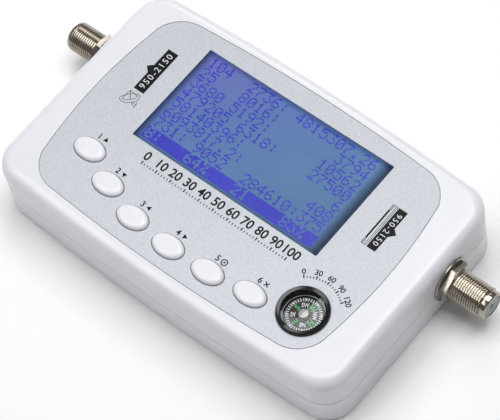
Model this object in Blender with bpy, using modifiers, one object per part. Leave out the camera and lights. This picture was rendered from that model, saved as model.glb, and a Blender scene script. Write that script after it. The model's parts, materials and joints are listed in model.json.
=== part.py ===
"""A hand-held satellite signal meter.

Metres, +Z up. X runs along the case, Y to its back, and the origin is under the
middle of the case, on the surface that it lies on.
"""
import math

import bmesh
import bpy

# Clearances and helpers' sizes
FIT = 0.0003
OVERRUN = 0.001
JOIN_DEPTH = 0.0005
MERGE_DISTANCE = 0.00001

# Case
CASE_LENGTH = 0.13
CASE_WIDTH = 0.0809
CASE_HEIGHT = 0.0223
CASE_WALL = 0.002
CASE_CORNER_RADIUS = 0.0098
CASE_TOP_ROUND = 0.0035
CASE_BOTTOM_ROUND = 0.0006
CASE_SIDE_BOW = 0.002
CASE_END_BOW = 0.0001
SEAM_SHARE = 0.470852
LIP_HEIGHT = 0.0014
LIP_WALL = 0.0008

# Face label
LABEL_END_BORDER = 0.00965
LABEL_SIDE_BORDER = 0.00455
LABEL_THICKNESS = 0.0004
LABEL_CORNER_RADIUS = 0.0111
LABEL_SIDE_BOW = 0.00255
LABEL_END_BOW = 0.00414
LABEL_CENTRE_SHARES = (-0.009, 0.0096)

# Display
WINDOW_LEFT_BORDER = 0.0202785
WINDOW_RIGHT_BORDER = 0.0204215
WINDOW_BACK_BORDER = 0.006114
WINDOW_FRONT_BORDER = 0.029486
WINDOW_PLATE_THICKNESS = 0.0008
LCD_FRAME_BORDER = 0.0032
LCD_VIEW_BORDER = 0.0008
LCD_FRAME_WALL = 0.0006
LCD_FRAME_FLANGE = 0.0003
LCD_GLASS_THICKNESS = 0.002
LCD_BACKLIGHT_THICKNESS = 0.0023
LCD_BOARD_THICKNESS = 0.0014
LCD_BOARD_END_BORDER = 0.0075
LCD_BOARD_SIDE_BORDER = 0.0059
LCD_POST_RADIUS = 0.0019
LCD_POST_EDGE = 0.0021
LCD_SCREW_RADIUS = 0.0007
LCD_SCREW_LENGTH = 0.0042
LCD_SCREW_HEAD_RADIUS = 0.0016
LCD_SCREW_HEAD_HEIGHT = 0.0011
HEADER_PINS = 10
HEADER_PITCH = 0.00254
HEADER_WIDTH = 0.0024
HEADER_BLOCK_SHARE = 0.625
HEADER_PIN_WIDTH = 0.0006
HEADER_EDGE = 0.0022

# Keys
KEY_LENGTH = 0.0109
KEY_WIDTH = 0.0071
KEY_PROUD = 0.00125
KEY_TRAVEL = 0.0005
KEY_FLANGE_BORDER = 0.0006
KEY_FLANGE_THICKNESS = 0.001
KEY_STEM_RADIUS = 0.0022
KEY_STEM_LENGTH = 0.0016
KEY_PLACE_SHARES = {
    "key_up": (-0.653, 0.3896),
    "key_down": (-0.465, 0.5844),
    "key_left": (-0.259, 0.7271),
    "key_right": (-0.034, 0.7642),
    "key_enter": (0.192, 0.7532),
    "key_back": (0.413, 0.6956),
}
KEY_CROWN_SHARES = ((0.0, 1.0), (0.5, 0.97), (0.76, 0.85), (0.91, 0.6), (1.0, 0.2))
SWITCH_SIZE = 0.006
SWITCH_HEIGHT = 0.0035
PLUNGER_RADIUS = 0.0016
PLUNGER_SEAT = 0.0012

# Compass
COMPASS_PLACE_SHARES = (0.6535, -0.5405)
COMPASS_RIM_RADIUS = 0.00795
COMPASS_CUP_RADIUS = 0.00713
COMPASS_RIM_HEIGHT = 0.0012
COMPASS_BORE_RADIUS = 0.00616
COMPASS_DEPTH = 0.007
COMPASS_FLOOR = 0.0012
COMPASS_LENS_RADIUS = 0.00637
COMPASS_LENS_THICKNESS = 0.0007
COMPASS_LENS_DROP = 0.0006
COMPASS_LENS_CROWN = 0.0005
COMPASS_CARD_RADIUS = 0.00583
COMPASS_CARD_THICKNESS = 0.0005
COMPASS_CARD_DEPTH = 0.0022
COMPASS_JEWEL_RADIUS = 0.00144
COMPASS_JEWEL_HEIGHT = 0.0009
COMPASS_PIN_RADIUS = 0.0007
COMPASS_PIN_TIP_SHARE = 0.3
COMPASS_RIM_SHARES = ((0.0, 0.62), (0.14, 0.9), (0.42, 1.0), (0.72, 0.9), (0.92, 0.55), (1.0, 0.2))

# Connectors
CONNECTOR_PLACE_SHARE = 0.374
CONNECTOR_REACH = 0.0153
THREAD_RADIUS = 0.00475
THREAD_DEPTH = 0.0004
THREAD_PITCH = 0.000794
THREAD_TURNS = 13
CONNECTOR_BORE_RADIUS = 0.0036
CONNECTOR_TIP_RADIUS = 0.0044
CONNECTOR_TIP_LENGTH = 0.0016
CONNECTOR_TIP_CHAMFER = 0.0005
CONNECTOR_GROOVE_RADIUS = 0.0042
CONNECTOR_GROOVE_WIDTH = 0.0005
CONNECTOR_FLANGE_RADIUS = 0.006
CONNECTOR_FLANGE_THICKNESS = 0.0015
CONNECTOR_TAIL_LENGTH = 0.004
WASHER_RADIUS = 0.0072
WASHER_THICKNESSES = {"input": 0.0017, "output": 0.0005}
NUT_ACROSS_FLATS = 0.0111
NUT_THICKNESS = 0.0019
NUT_CHAMFER_SHARE = 0.38
NUT_SIDES = 6
NUT_TURNS = {"input": math.radians(44.5), "output": math.radians(30)}
INSULATOR_SETBACK = 0.0003
CONTACT_RADIUS = 0.0004
CONTACT_SLEEVE_RADIUS = 0.0007
CONTACT_TAIL_LENGTH = 0.0028

# Main board and what it carries
BOARD_THICKNESS = 0.0016
BOARD_EDGE_GAP = 0.002
BOARD_CORNER_RADIUS = 0.008
BOARD_NOTCH_MARGIN = 0.0008
TUNER_LENGTH = 0.056
TUNER_WIDTH = 0.033
TUNER_WALL = 0.0006
TUNER_FLOOR_GAP = 0.0005
TUNER_SKIRT_HEIGHT = 0.0024
TUNER_PLACE_SHARES = (0.02, 0.2)
CHIP_THICKNESS = 0.0014
CONTROLLER_CHIP_SIZE = 0.014
CONTROLLER_CHIP_PLACE_SHARES = (-0.27, 0.12)
TUNER_CHIP_SIZE = 0.010
TUNER_CHIP_PLACE_SHARES = (0.23, 0.12)
BUZZER_RADIUS = 0.006
BUZZER_HEIGHT = 0.0075
BUZZER_PORT_RADIUS = 0.0012
BUZZER_PORT_DEPTH = 0.0022
BUZZER_PLACE_SHARES = (-0.78, -0.05)
CAPACITOR_RADIUS = 0.0038
CAPACITOR_HEIGHT = 0.0072
CAPACITOR_NOTCH_DEPTH = 0.0003
CAPACITOR_PLACE_SHARES = {"capacitor_back": (0.762, 0.05), "capacitor_front": (0.762, -0.2)}

# Case screws and their bosses
SCREW_PLACE_SHARES = (0.845, 0.735)
SCREW_SIDES = {
    "front_left": (-1, -1),
    "front_right": (1, -1),
    "back_left": (-1, 1),
    "back_right": (1, 1),
}
SCREW_RADIUS = 0.0012
SCREW_LENGTH = 0.011
SCREW_HEAD_RADIUS = 0.0025
SCREW_HEAD_HEIGHT = 0.0017
SCREW_WELL_DEPTH = 0.0042
SCREW_TIP_ROOM = 0.0008
SCREW_SLOT_WIDTH = 0.0007
SCREW_SLOT_DEPTH_SHARE = 0.55
SCREW_SLOT_LENGTH_SHARE = 1.3
HEAD_ROUND_SHARE = 0.3
SCREW_POINT_SHARE = 0.5
BOSS_WALL = 0.0016
POST_WALL = 0.001

# Counts of steps along curves
SIDE_STEPS = 4
FLAT_SIDE_STEPS = 1
CORNER_STEPS = 5
ROUND_SEGMENTS = 4
SMALL_ROUND_SEGMENTS = 2
KEY_STEPS = 20
ROUND_STEPS = 18
NUT_ROUND_STEPS = 24
SMALL_ROUND_STEPS = 8
COMPASS_STEPS = 28
LENS_RING_SHARES = (0.0, 0.5, 0.8, 1.0)
SETTLE_ROUNDS = 20
SHARP_ANGLE = math.radians(35)

# Places worked out from the sizes above
HALF_LENGTH = CASE_LENGTH / 2
HALF_WIDTH = CASE_WIDTH / 2
SEAM_HEIGHT = CASE_HEIGHT * SEAM_SHARE
CEILING = CASE_HEIGHT - CASE_WALL
LABEL_BOTTOM = CASE_HEIGHT - LABEL_THICKNESS
RECESS_FLOOR = LABEL_BOTTOM - FIT
PLATE_TOP = LABEL_BOTTOM - FIT
PLATE_BOTTOM = PLATE_TOP - WINDOW_PLATE_THICKNESS
FRAME_TOP = PLATE_BOTTOM - FIT
GLASS_TOP = FRAME_TOP - LCD_FRAME_FLANGE - FIT
GLASS_BOTTOM = GLASS_TOP - LCD_GLASS_THICKNESS
BACKLIGHT_TOP = GLASS_BOTTOM - FIT
BACKLIGHT_BOTTOM = BACKLIGHT_TOP - LCD_BACKLIGHT_THICKNESS
LCD_BOARD_TOP = BACKLIGHT_BOTTOM - FIT
LCD_BOARD_BOTTOM = LCD_BOARD_TOP - LCD_BOARD_THICKNESS
BOARD_TOP = SEAM_HEIGHT - CONTACT_RADIUS - FIT
BOARD_BOTTOM = BOARD_TOP - BOARD_THICKNESS
BOARD_HALF_LENGTH = HALF_LENGTH - CASE_WALL - BOARD_EDGE_GAP
BOARD_HALF_WIDTH = HALF_WIDTH - CASE_SIDE_BOW - CASE_WALL - BOARD_EDGE_GAP
LABEL_LENGTH = CASE_LENGTH - 2 * LABEL_END_BORDER
LABEL_WIDTH = CASE_WIDTH - 2 * LABEL_SIDE_BORDER
WINDOW_LENGTH = LABEL_LENGTH - WINDOW_LEFT_BORDER - WINDOW_RIGHT_BORDER
WINDOW_WIDTH = LABEL_WIDTH - WINDOW_BACK_BORDER - WINDOW_FRONT_BORDER
LCD_BOARD_LENGTH = WINDOW_LENGTH + 2 * LCD_BOARD_END_BORDER
LCD_BOARD_WIDTH = WINDOW_WIDTH + 2 * LCD_BOARD_SIDE_BORDER
LCD_FRAME_LENGTH = WINDOW_LENGTH + 2 * LCD_FRAME_BORDER
LCD_FRAME_WIDTH = WINDOW_WIDTH + 2 * LCD_FRAME_BORDER
CONNECTOR_Y = CONNECTOR_PLACE_SHARE * HALF_WIDTH
TUBE_BOTTOM = -CASE_WALL - FIT - CONNECTOR_FLANGE_THICKNESS - CONNECTOR_TAIL_LENGTH


def share_place(shares):
    """A point of the plan, given as shares of the case's half length and half width."""
    return shares[0] * HALF_LENGTH, shares[1] * HALF_WIDTH


COMPASS_X, COMPASS_Y = share_place(COMPASS_PLACE_SHARES)
LABEL_X, LABEL_Y = share_place(LABEL_CENTRE_SHARES)
WINDOW_X = LABEL_X + (WINDOW_LEFT_BORDER - WINDOW_RIGHT_BORDER) / 2
WINDOW_Y = LABEL_Y + (WINDOW_FRONT_BORDER - WINDOW_BACK_BORDER) / 2
WINDOW_FRONT = WINDOW_Y - WINDOW_WIDTH / 2
TUNER_X, TUNER_Y = share_place(TUNER_PLACE_SHARES)
SCREW_X, SCREW_Y = share_place(SCREW_PLACE_SHARES)


def key_place(shares):
    """A point in front of the window, by shares of the half length and the label's front strip."""
    return shares[0] * HALF_LENGTH, WINDOW_FRONT - shares[1] * WINDOW_FRONT_BORDER


# Scene and materials

def clear_scene():
    for thing in list(bpy.data.objects):
        bpy.data.objects.remove(thing, do_unlink=True)


def make_collection(name):
    collection = bpy.data.collections.new(name)
    bpy.context.scene.collection.children.link(collection)
    return collection


def make_material(name, colour, roughness, metallic=0.0, alpha=1.0):
    material = bpy.data.materials.new(name)
    material.use_nodes = True
    shader = material.node_tree.nodes["Principled BSDF"]
    shader.inputs["Base Color"].default_value = (*colour, 1.0)
    shader.inputs["Roughness"].default_value = roughness
    shader.inputs["Metallic"].default_value = metallic
    shader.inputs["Alpha"].default_value = alpha
    material.diffuse_color = (*colour, alpha)
    return material


# Object builders

def add_object(name, mesh, material=None, parent=None, place=(0, 0, 0)):
    """A part where a material is given, otherwise a cutter or a piece to be joined."""
    thing = bpy.data.objects.new(name, mesh)
    thing.location = place
    thing.parent = parent
    if material is None:
        CUTTERS.objects.link(thing)
        thing.hide_render = True
        thing.display_type = "WIRE"
    else:
        PARTS.objects.link(thing)
        mesh.materials.append(material)
    return thing


def mesh_from(name, bm):
    bmesh.ops.recalc_face_normals(bm, faces=bm.faces)
    mesh = bpy.data.meshes.new(name)
    bm.to_mesh(mesh)
    bm.free()
    return mesh


def bowed_outline(half_length, half_width, end_bow, side_bow, radius, end_steps=SIDE_STEPS):
    """A rectangle with round corners whose four sides bulge outwards, as plan points."""
    centre_x = half_length - radius
    centre_y = half_width - radius
    for _ in range(SETTLE_ROUNDS):
        centre_y = half_width - radius - side_bow * (centre_x / half_length) ** 2
        centre_x = half_length - radius - end_bow * (centre_y / half_width) ** 2
    first_turn = math.atan2(1, 2 * side_bow * centre_x / half_length ** 2)
    last_turn = math.atan2(2 * end_bow * centre_y / half_width ** 2, 1)
    side_end = centre_x + radius * math.cos(first_turn)
    end_start = centre_y + radius * math.sin(last_turn)
    quarter = []
    for step in range(SIDE_STEPS):
        x = side_end * step / SIDE_STEPS
        quarter.append((x, half_width - side_bow * (x / half_length) ** 2))
    for step in range(CORNER_STEPS):
        turn = first_turn + (last_turn - first_turn) * step / CORNER_STEPS
        quarter.append((centre_x + radius * math.cos(turn), centre_y + radius * math.sin(turn)))
    for step in range(end_steps + 1):
        y = end_start * (1 - step / end_steps)
        quarter.append((half_length - end_bow * (y / half_width) ** 2, y))
    right = quarter + [(x, -y) for x, y in reversed(quarter[:-1])]
    left = [(-x, y) for x, y in reversed(right[1:-1])]
    return right + left


def oval_outline(half_length, half_width, steps):
    turns = [2 * math.pi * step / steps for step in range(steps)]
    return [(half_length * math.cos(turn), half_width * math.sin(turn)) for turn in turns]


def slab(name, outline, bottom, top, material=None, place=(0, 0, 0), top_round=0.0,
         bottom_round=0.0, segments=ROUND_SEGMENTS, parent=None):
    """An outline extruded between two heights, with its rims rounded if asked."""
    bm = bmesh.new()
    rim = [bm.verts.new((x, y, bottom)) for x, y in outline]
    base = bm.faces.new(rim)
    grown = bmesh.ops.extrude_face_region(bm, geom=[base])
    raised = [item for item in grown["geom"] if isinstance(item, bmesh.types.BMVert)]
    bmesh.ops.translate(bm, verts=raised, vec=(0, 0, top - bottom))
    for height, size in ((top, top_round), (bottom, bottom_round)):
        if size > 0:
            near = [edge for edge in bm.edges
                    if all(abs(vert.co.z - height) < MERGE_DISTANCE for vert in edge.verts)]
            bmesh.ops.bevel(bm, geom=near, offset=size, segments=segments, profile=0.5,
                            affect="EDGES", clamp_overlap=True)
    return add_object(name, mesh_from(name, bm), material, parent, place)


def box(name, length, width, bottom, top, material=None, place=(0, 0, 0), parent=None):
    bm = bmesh.new()
    bmesh.ops.create_cube(bm, size=1)
    bmesh.ops.scale(bm, verts=bm.verts, vec=(length, width, top - bottom))
    bmesh.ops.translate(bm, verts=bm.verts, vec=(0, 0, (top + bottom) / 2))
    return add_object(name, mesh_from(name, bm), material, parent, place)


def rod(name, radius, bottom, top, material=None, place=(0, 0, 0), steps=ROUND_STEPS,
        tip_radius=None, parent=None):
    """A cylinder, or a cone where its tip has a radius of its own."""
    bm = bmesh.new()
    bmesh.ops.create_cone(bm, cap_ends=True, segments=steps, radius1=radius,
                          radius2=radius if tip_radius is None else tip_radius,
                          depth=top - bottom)
    bmesh.ops.translate(bm, verts=bm.verts, vec=(0, 0, (top + bottom) / 2))
    thing = add_object(name, mesh_from(name, bm), material, parent, place)
    smooth(thing)
    return thing


def turned(name, profile, material=None, place=(0, 0, 0), steps=ROUND_STEPS, ring=False,
           stretch=1.0, parent=None):
    """A profile of (radius, height) points swept round Z, down its outer side.

    A ring's profile closes on itself. Stretch scales the swept shape along Y.
    """
    mesh = bpy.data.meshes.new(name)
    edges = [(index, index + 1) for index in range(len(profile) - 1)]
    if ring:
        edges.append((len(profile) - 1, 0))
    mesh.from_pydata([(radius, 0, height) for radius, height in profile], edges, [])
    thing = add_object(name, mesh, material, parent, place)
    screw = thing.modifiers.new("turn", "SCREW")
    screw.steps = steps
    screw.render_steps = steps
    screw.use_merge_vertices = True
    screw.merge_threshold = MERGE_DISTANCE
    if stretch != 1.0:
        graph = bpy.context.evaluated_depsgraph_get()
        swept = bpy.data.meshes.new_from_object(thing.evaluated_get(graph))
        thing.modifiers.clear()
        thing.data = swept
        for vert in swept.vertices:
            vert.co.y *= stretch
    smooth(thing)
    return thing


def smooth(thing):
    thing.data.shade_smooth()
    thing.data.set_sharp_from_angle(angle=SHARP_ANGLE)


def boolean(target, tool, operation):
    modifier = target.modifiers.new(operation.lower() + "_" + tool.name, "BOOLEAN")
    modifier.operation = operation
    modifier.solver = "EXACT"
    modifier.object = tool


def cut(target, tool):
    boolean(target, tool, "DIFFERENCE")


def join(target, tool):
    boolean(target, tool, "UNION")


def keep(target, tool):
    boolean(target, tool, "INTERSECT")


# Case

def case_outline(inset):
    return bowed_outline(HALF_LENGTH - inset, HALF_WIDTH - inset, CASE_END_BOW, CASE_SIDE_BOW,
                         CASE_CORNER_RADIUS - inset, FLAT_SIDE_STEPS)


def label_outline(margin):
    return bowed_outline(LABEL_LENGTH / 2 + margin, LABEL_WIDTH / 2 + margin, LABEL_END_BOW,
                         LABEL_SIDE_BOW, LABEL_CORNER_RADIUS + margin)


def connector_holes():
    holes = []
    for side in (-1, 1):
        hole = rod("connector_hole", THREAD_RADIUS + FIT, -CASE_WALL - OVERRUN, OVERRUN,
                   place=(side * HALF_LENGTH, CONNECTOR_Y, SEAM_HEIGHT))
        hole.rotation_euler = (0, side * math.pi / 2, 0)
        holes.append(hole)
    return holes


def screw_places():
    return {corner: (side_x * SCREW_X, side_y * SCREW_Y, 0)
            for corner, (side_x, side_y) in SCREW_SIDES.items()}


def lcd_post_places():
    reach_x = LCD_BOARD_LENGTH / 2 - LCD_POST_EDGE
    reach_y = LCD_BOARD_WIDTH / 2 - LCD_POST_EDGE
    return {corner: (WINDOW_X + side_x * reach_x, WINDOW_Y + side_y * reach_y, 0)
            for corner, (side_x, side_y) in SCREW_SIDES.items()}


def make_top_shell():
    shell = slab("top_shell", case_outline(0), SEAM_HEIGHT + FIT / 2, CASE_HEIGHT, WHITE_PLASTIC,
                 top_round=CASE_TOP_ROUND)
    cut(shell, slab("top_hollow", case_outline(CASE_WALL), SEAM_HEIGHT - OVERRUN, CEILING,
                    top_round=CASE_TOP_ROUND - CASE_WALL, segments=SMALL_ROUND_SEGMENTS))
    cut(shell, slab("lip_rebate", case_outline(CASE_WALL - LIP_WALL - FIT),
                    SEAM_HEIGHT - OVERRUN, SEAM_HEIGHT + LIP_HEIGHT + FIT))
    cut(shell, slab("label_recess", label_outline(FIT), RECESS_FLOOR, CASE_HEIGHT + OVERRUN,
                    place=(LABEL_X, LABEL_Y, 0)))
    cut(shell, box("frame_opening", LCD_FRAME_LENGTH + 2 * FIT, LCD_FRAME_WIDTH + 2 * FIT,
                   CEILING - OVERRUN, CASE_HEIGHT, place=(WINDOW_X, WINDOW_Y, 0)))
    cut(shell, rod("compass_opening", COMPASS_CUP_RADIUS + FIT, CEILING - OVERRUN, CASE_HEIGHT,
                   place=(COMPASS_X, COMPASS_Y, 0), steps=COMPASS_STEPS))
    for name, shares in KEY_PLACE_SHARES.items():
        outline = oval_outline(KEY_LENGTH / 2 + FIT, KEY_WIDTH / 2 + FIT, KEY_STEPS)
        cut(shell, slab("opening_" + name, outline, CEILING - OVERRUN, CASE_HEIGHT,
                        place=(*key_place(shares), 0)))
    for hole in connector_holes():
        cut(shell, hole)
    for place in screw_places().values():
        join(shell, rod("boss", SCREW_RADIUS + FIT + BOSS_WALL, BOARD_TOP + FIT,
                        CEILING + JOIN_DEPTH, place=place))
        tip = SCREW_WELL_DEPTH - FIT + SCREW_LENGTH
        cut(shell, rod("boss_bore", SCREW_RADIUS + FIT, BOARD_TOP - OVERRUN, tip + SCREW_TIP_ROOM,
                       place=place, steps=SMALL_ROUND_STEPS))
    for place in lcd_post_places().values():
        join(shell, rod("lcd_post", LCD_POST_RADIUS, LCD_BOARD_TOP + FIT, CEILING + JOIN_DEPTH,
                        place=place, steps=SMALL_ROUND_STEPS))
        tip = LCD_BOARD_BOTTOM - FIT + LCD_SCREW_LENGTH
        cut(shell, rod("lcd_post_bore", LCD_SCREW_RADIUS + FIT, LCD_BOARD_TOP - OVERRUN, tip + FIT,
                       place=place, steps=SMALL_ROUND_STEPS))


def make_bottom_shell():
    rim = SEAM_HEIGHT - FIT / 2
    shell = slab("bottom_shell", case_outline(0), 0, rim, WHITE_PLASTIC,
                 bottom_round=CASE_BOTTOM_ROUND, segments=SMALL_ROUND_SEGMENTS)
    lip = slab("lip", case_outline(CASE_WALL - LIP_WALL), CASE_WALL, SEAM_HEIGHT + LIP_HEIGHT)
    join(shell, lip)
    cut(shell, slab("bottom_hollow", case_outline(CASE_WALL), CASE_WALL,
                    SEAM_HEIGHT + LIP_HEIGHT + OVERRUN))
    for hole in connector_holes():
        cut(shell, hole)
    for place in screw_places().values():
        well_radius = SCREW_HEAD_RADIUS + FIT
        join(shell, rod("post", well_radius + POST_WALL, CASE_WALL - JOIN_DEPTH, BOARD_BOTTOM - FIT,
                        place=place))
        cut(shell, rod("screw_well", well_radius, -OVERRUN, SCREW_WELL_DEPTH, place=place))
        cut(shell, rod("screw_hole", SCREW_RADIUS + FIT, 0, BOARD_BOTTOM + OVERRUN, place=place,
                       steps=SMALL_ROUND_STEPS))


def make_screw(name, radius, length, head_radius, head_height, seat, place):
    """A pan-head screw that points up, with its head's seat at the given height."""
    rim = seat - head_height * (1 - HEAD_ROUND_SHARE)
    tip = seat + length
    profile = [(0, tip), (radius * (1 - SCREW_POINT_SHARE), tip), (radius, tip - radius),
               (radius, seat), (head_radius, seat), (head_radius, rim),
               (head_radius * (1 - HEAD_ROUND_SHARE), seat - head_height), (0, seat - head_height)]
    screw = turned(name, profile, STEEL, place, steps=SMALL_ROUND_STEPS)
    slot_top = seat - head_height * (1 - SCREW_SLOT_DEPTH_SHARE)
    slot_length = head_radius * SCREW_SLOT_LENGTH_SHARE
    cross = box("slot_" + name, slot_length, SCREW_SLOT_WIDTH, seat - head_height - OVERRUN,
                slot_top, place=place)
    cut(screw, cross)
    arm = box("cross_" + name, SCREW_SLOT_WIDTH, slot_length, seat - head_height - OVERRUN,
              slot_top, place=place)
    cut(screw, arm)


def make_screws():
    for corner, place in screw_places().items():
        make_screw("case_screw_" + corner, SCREW_RADIUS, SCREW_LENGTH, SCREW_HEAD_RADIUS,
                   SCREW_HEAD_HEIGHT, SCREW_WELL_DEPTH - FIT, place)
    for corner, place in lcd_post_places().items():
        make_screw("lcd_screw_" + corner, LCD_SCREW_RADIUS, LCD_SCREW_LENGTH,
                   LCD_SCREW_HEAD_RADIUS, LCD_SCREW_HEAD_HEIGHT, LCD_BOARD_BOTTOM - FIT, place)


# Face and display

def make_face_label():
    label = slab("face_label", label_outline(0), LABEL_BOTTOM, CASE_HEIGHT, SILVER_PRINT,
                 place=(LABEL_X, LABEL_Y, 0))
    below = LABEL_BOTTOM - OVERRUN
    above = CASE_HEIGHT + OVERRUN
    cut(label, box("label_window", WINDOW_LENGTH, WINDOW_WIDTH, below, above,
                   place=(WINDOW_X, WINDOW_Y, 0)))
    cut(label, rod("label_compass", COMPASS_CUP_RADIUS + FIT, below, above,
                   place=(COMPASS_X, COMPASS_Y, 0), steps=COMPASS_STEPS))
    for name, shares in KEY_PLACE_SHARES.items():
        outline = oval_outline(KEY_LENGTH / 2 + FIT, KEY_WIDTH / 2 + FIT, KEY_STEPS)
        cut(label, slab("label_" + name, outline, below, above, place=(*key_place(shares), 0)))


def make_display():
    centre = (WINDOW_X, WINDOW_Y, 0)
    box("display_window", LCD_FRAME_LENGTH, LCD_FRAME_WIDTH, PLATE_BOTTOM, PLATE_TOP,
        CLEAR_PLASTIC, centre)
    frame = box("lcd_bezel", LCD_FRAME_LENGTH, LCD_FRAME_WIDTH, LCD_BOARD_TOP + FIT, FRAME_TOP,
                BLACK_STEEL, centre)
    room_length = LCD_FRAME_LENGTH - 2 * LCD_FRAME_WALL
    room_width = LCD_FRAME_WIDTH - 2 * LCD_FRAME_WALL
    cut(frame, box("frame_room", room_length, room_width, LCD_BOARD_TOP - OVERRUN,
                   FRAME_TOP - LCD_FRAME_FLANGE, place=centre))
    cut(frame, box("frame_view", WINDOW_LENGTH + 2 * LCD_VIEW_BORDER,
                   WINDOW_WIDTH + 2 * LCD_VIEW_BORDER, GLASS_TOP, FRAME_TOP + OVERRUN,
                   place=centre))
    box("lcd_glass", room_length - 2 * FIT, room_width - 2 * FIT, GLASS_BOTTOM, GLASS_TOP,
        LCD_BLUE, centre)
    box("lcd_backlight", room_length - 2 * FIT, room_width - 2 * FIT, BACKLIGHT_BOTTOM,
        BACKLIGHT_TOP, MILKY_PLASTIC, centre)
    board = box("lcd_board", LCD_BOARD_LENGTH, LCD_BOARD_WIDTH, LCD_BOARD_BOTTOM, LCD_BOARD_TOP,
                GREEN_BOARD, centre)
    for corner, place in lcd_post_places().items():
        cut(board, rod("lcd_board_hole_" + corner, LCD_SCREW_RADIUS + FIT,
                       LCD_BOARD_BOTTOM - OVERRUN, LCD_BOARD_TOP + OVERRUN, place=place,
                       steps=SMALL_ROUND_STEPS))


def make_header():
    """The pin strip between the display board and the main board, along their back edges."""
    length = HEADER_PINS * HEADER_PITCH
    y = WINDOW_Y + LCD_BOARD_WIDTH / 2 - HEADER_EDGE
    low = BOARD_TOP + FIT
    high = LCD_BOARD_BOTTOM - FIT
    margin = (high - low) * (1 - HEADER_BLOCK_SHARE) / 2
    place = (WINDOW_X, y, 0)
    header = box("lcd_header", length, HEADER_WIDTH, low + margin, high - margin, BLACK_PLASTIC,
                 place)
    for pin in range(HEADER_PINS):
        x = WINDOW_X + (pin - (HEADER_PINS - 1) / 2) * HEADER_PITCH
        join(header, box("header_pin", HEADER_PIN_WIDTH, HEADER_PIN_WIDTH, low, high,
                         place=(x, y, 0)))


# Keys

def make_key(name, shares):
    """A cap on its switch's plunger. Both have their origin on the key's axis."""
    x, y = key_place(shares)
    radius = KEY_LENGTH / 2
    flange_top = CEILING - FIT - CASE_HEIGHT
    flange_bottom = flange_top - KEY_FLANGE_THICKNESS
    stem_bottom = flange_bottom - KEY_STEM_LENGTH
    profile = [(radius * across, KEY_PROUD * up) for across, up in KEY_CROWN_SHARES]
    profile += [(radius, flange_top), (radius + KEY_FLANGE_BORDER, flange_top),
                (radius + KEY_FLANGE_BORDER, flange_bottom), (KEY_STEM_RADIUS, flange_bottom),
                (KEY_STEM_RADIUS, stem_bottom), (0, stem_bottom)]
    cap = turned(name, profile, WHITE_PLASTIC, (x, y, CASE_HEIGHT), KEY_STEPS,
                 stretch=KEY_WIDTH / KEY_LENGTH)
    switch_bottom = BOARD_TOP + FIT
    switch_top = switch_bottom + SWITCH_HEIGHT
    plunger_bottom = switch_top - PLUNGER_SEAT
    rod("plunger_" + name, PLUNGER_RADIUS, plunger_bottom - CASE_HEIGHT, stem_bottom - FIT,
        DARK_PLASTIC, steps=SMALL_ROUND_STEPS, parent=cap)
    switch = box("switch_" + name, SWITCH_SIZE, SWITCH_SIZE, switch_bottom, switch_top,
                 BLACK_PLASTIC, (x, y, 0))
    cut(switch, rod("bore_" + name, PLUNGER_RADIUS + FIT, plunger_bottom - KEY_TRAVEL - FIT,
                    switch_top + OVERRUN, place=(x, y, 0), steps=SMALL_ROUND_STEPS))


# Compass

def make_compass():
    """The ring sits on the label and its cup hangs through the shell."""
    place = (COMPASS_X, COMPASS_Y, CASE_HEIGHT)
    rim_bottom = FIT
    rim_inner = COMPASS_LENS_RADIUS + FIT
    rim_width = COMPASS_RIM_RADIUS - rim_inner
    ledge = COMPASS_RIM_HEIGHT - COMPASS_LENS_DROP - COMPASS_LENS_THICKNESS - FIT
    cup_bottom = -COMPASS_DEPTH
    floor = cup_bottom + COMPASS_FLOOR
    rim_rise = COMPASS_RIM_HEIGHT - rim_bottom
    profile = [(rim_inner + rim_width * across, rim_bottom + rim_rise * up)
               for across, up in COMPASS_RIM_SHARES]
    profile += [(COMPASS_RIM_RADIUS, rim_bottom), (COMPASS_CUP_RADIUS, rim_bottom),
                (COMPASS_CUP_RADIUS, cup_bottom), (0, cup_bottom)]
    inside = [(0, floor), (COMPASS_BORE_RADIUS, floor), (COMPASS_BORE_RADIUS, ledge),
              (rim_inner, ledge)]
    turned("compass_housing", inside + profile, GLOSS_BLACK, place, COMPASS_STEPS)
    lens_bottom = ledge + FIT
    crown = lens_bottom + COMPASS_LENS_THICKNESS
    profile = [(COMPASS_LENS_RADIUS * share, crown + COMPASS_LENS_CROWN * (1 - share ** 2))
               for share in LENS_RING_SHARES]
    turned("compass_lens", profile + [(COMPASS_LENS_RADIUS, lens_bottom), (0, lens_bottom)],
           CLEAR_PLASTIC, place, COMPASS_STEPS)
    card_top = -COMPASS_CARD_DEPTH
    card_bottom = card_top - COMPASS_CARD_THICKNESS
    card = rod("compass_card", COMPASS_CARD_RADIUS, card_bottom, card_top, CARD_BLACK, place,
               steps=COMPASS_STEPS)
    rod("compass_jewel", COMPASS_JEWEL_RADIUS, card_top + FIT,
        card_top + FIT + COMPASS_JEWEL_HEIGHT, BRASS, steps=ROUND_STEPS, parent=card)
    rod("compass_pin", COMPASS_PIN_RADIUS, floor + FIT, card_bottom - FIT, STEEL, place,
        steps=SMALL_ROUND_STEPS, tip_radius=COMPASS_PIN_RADIUS * COMPASS_PIN_TIP_SHARE)


# Connectors

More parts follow.
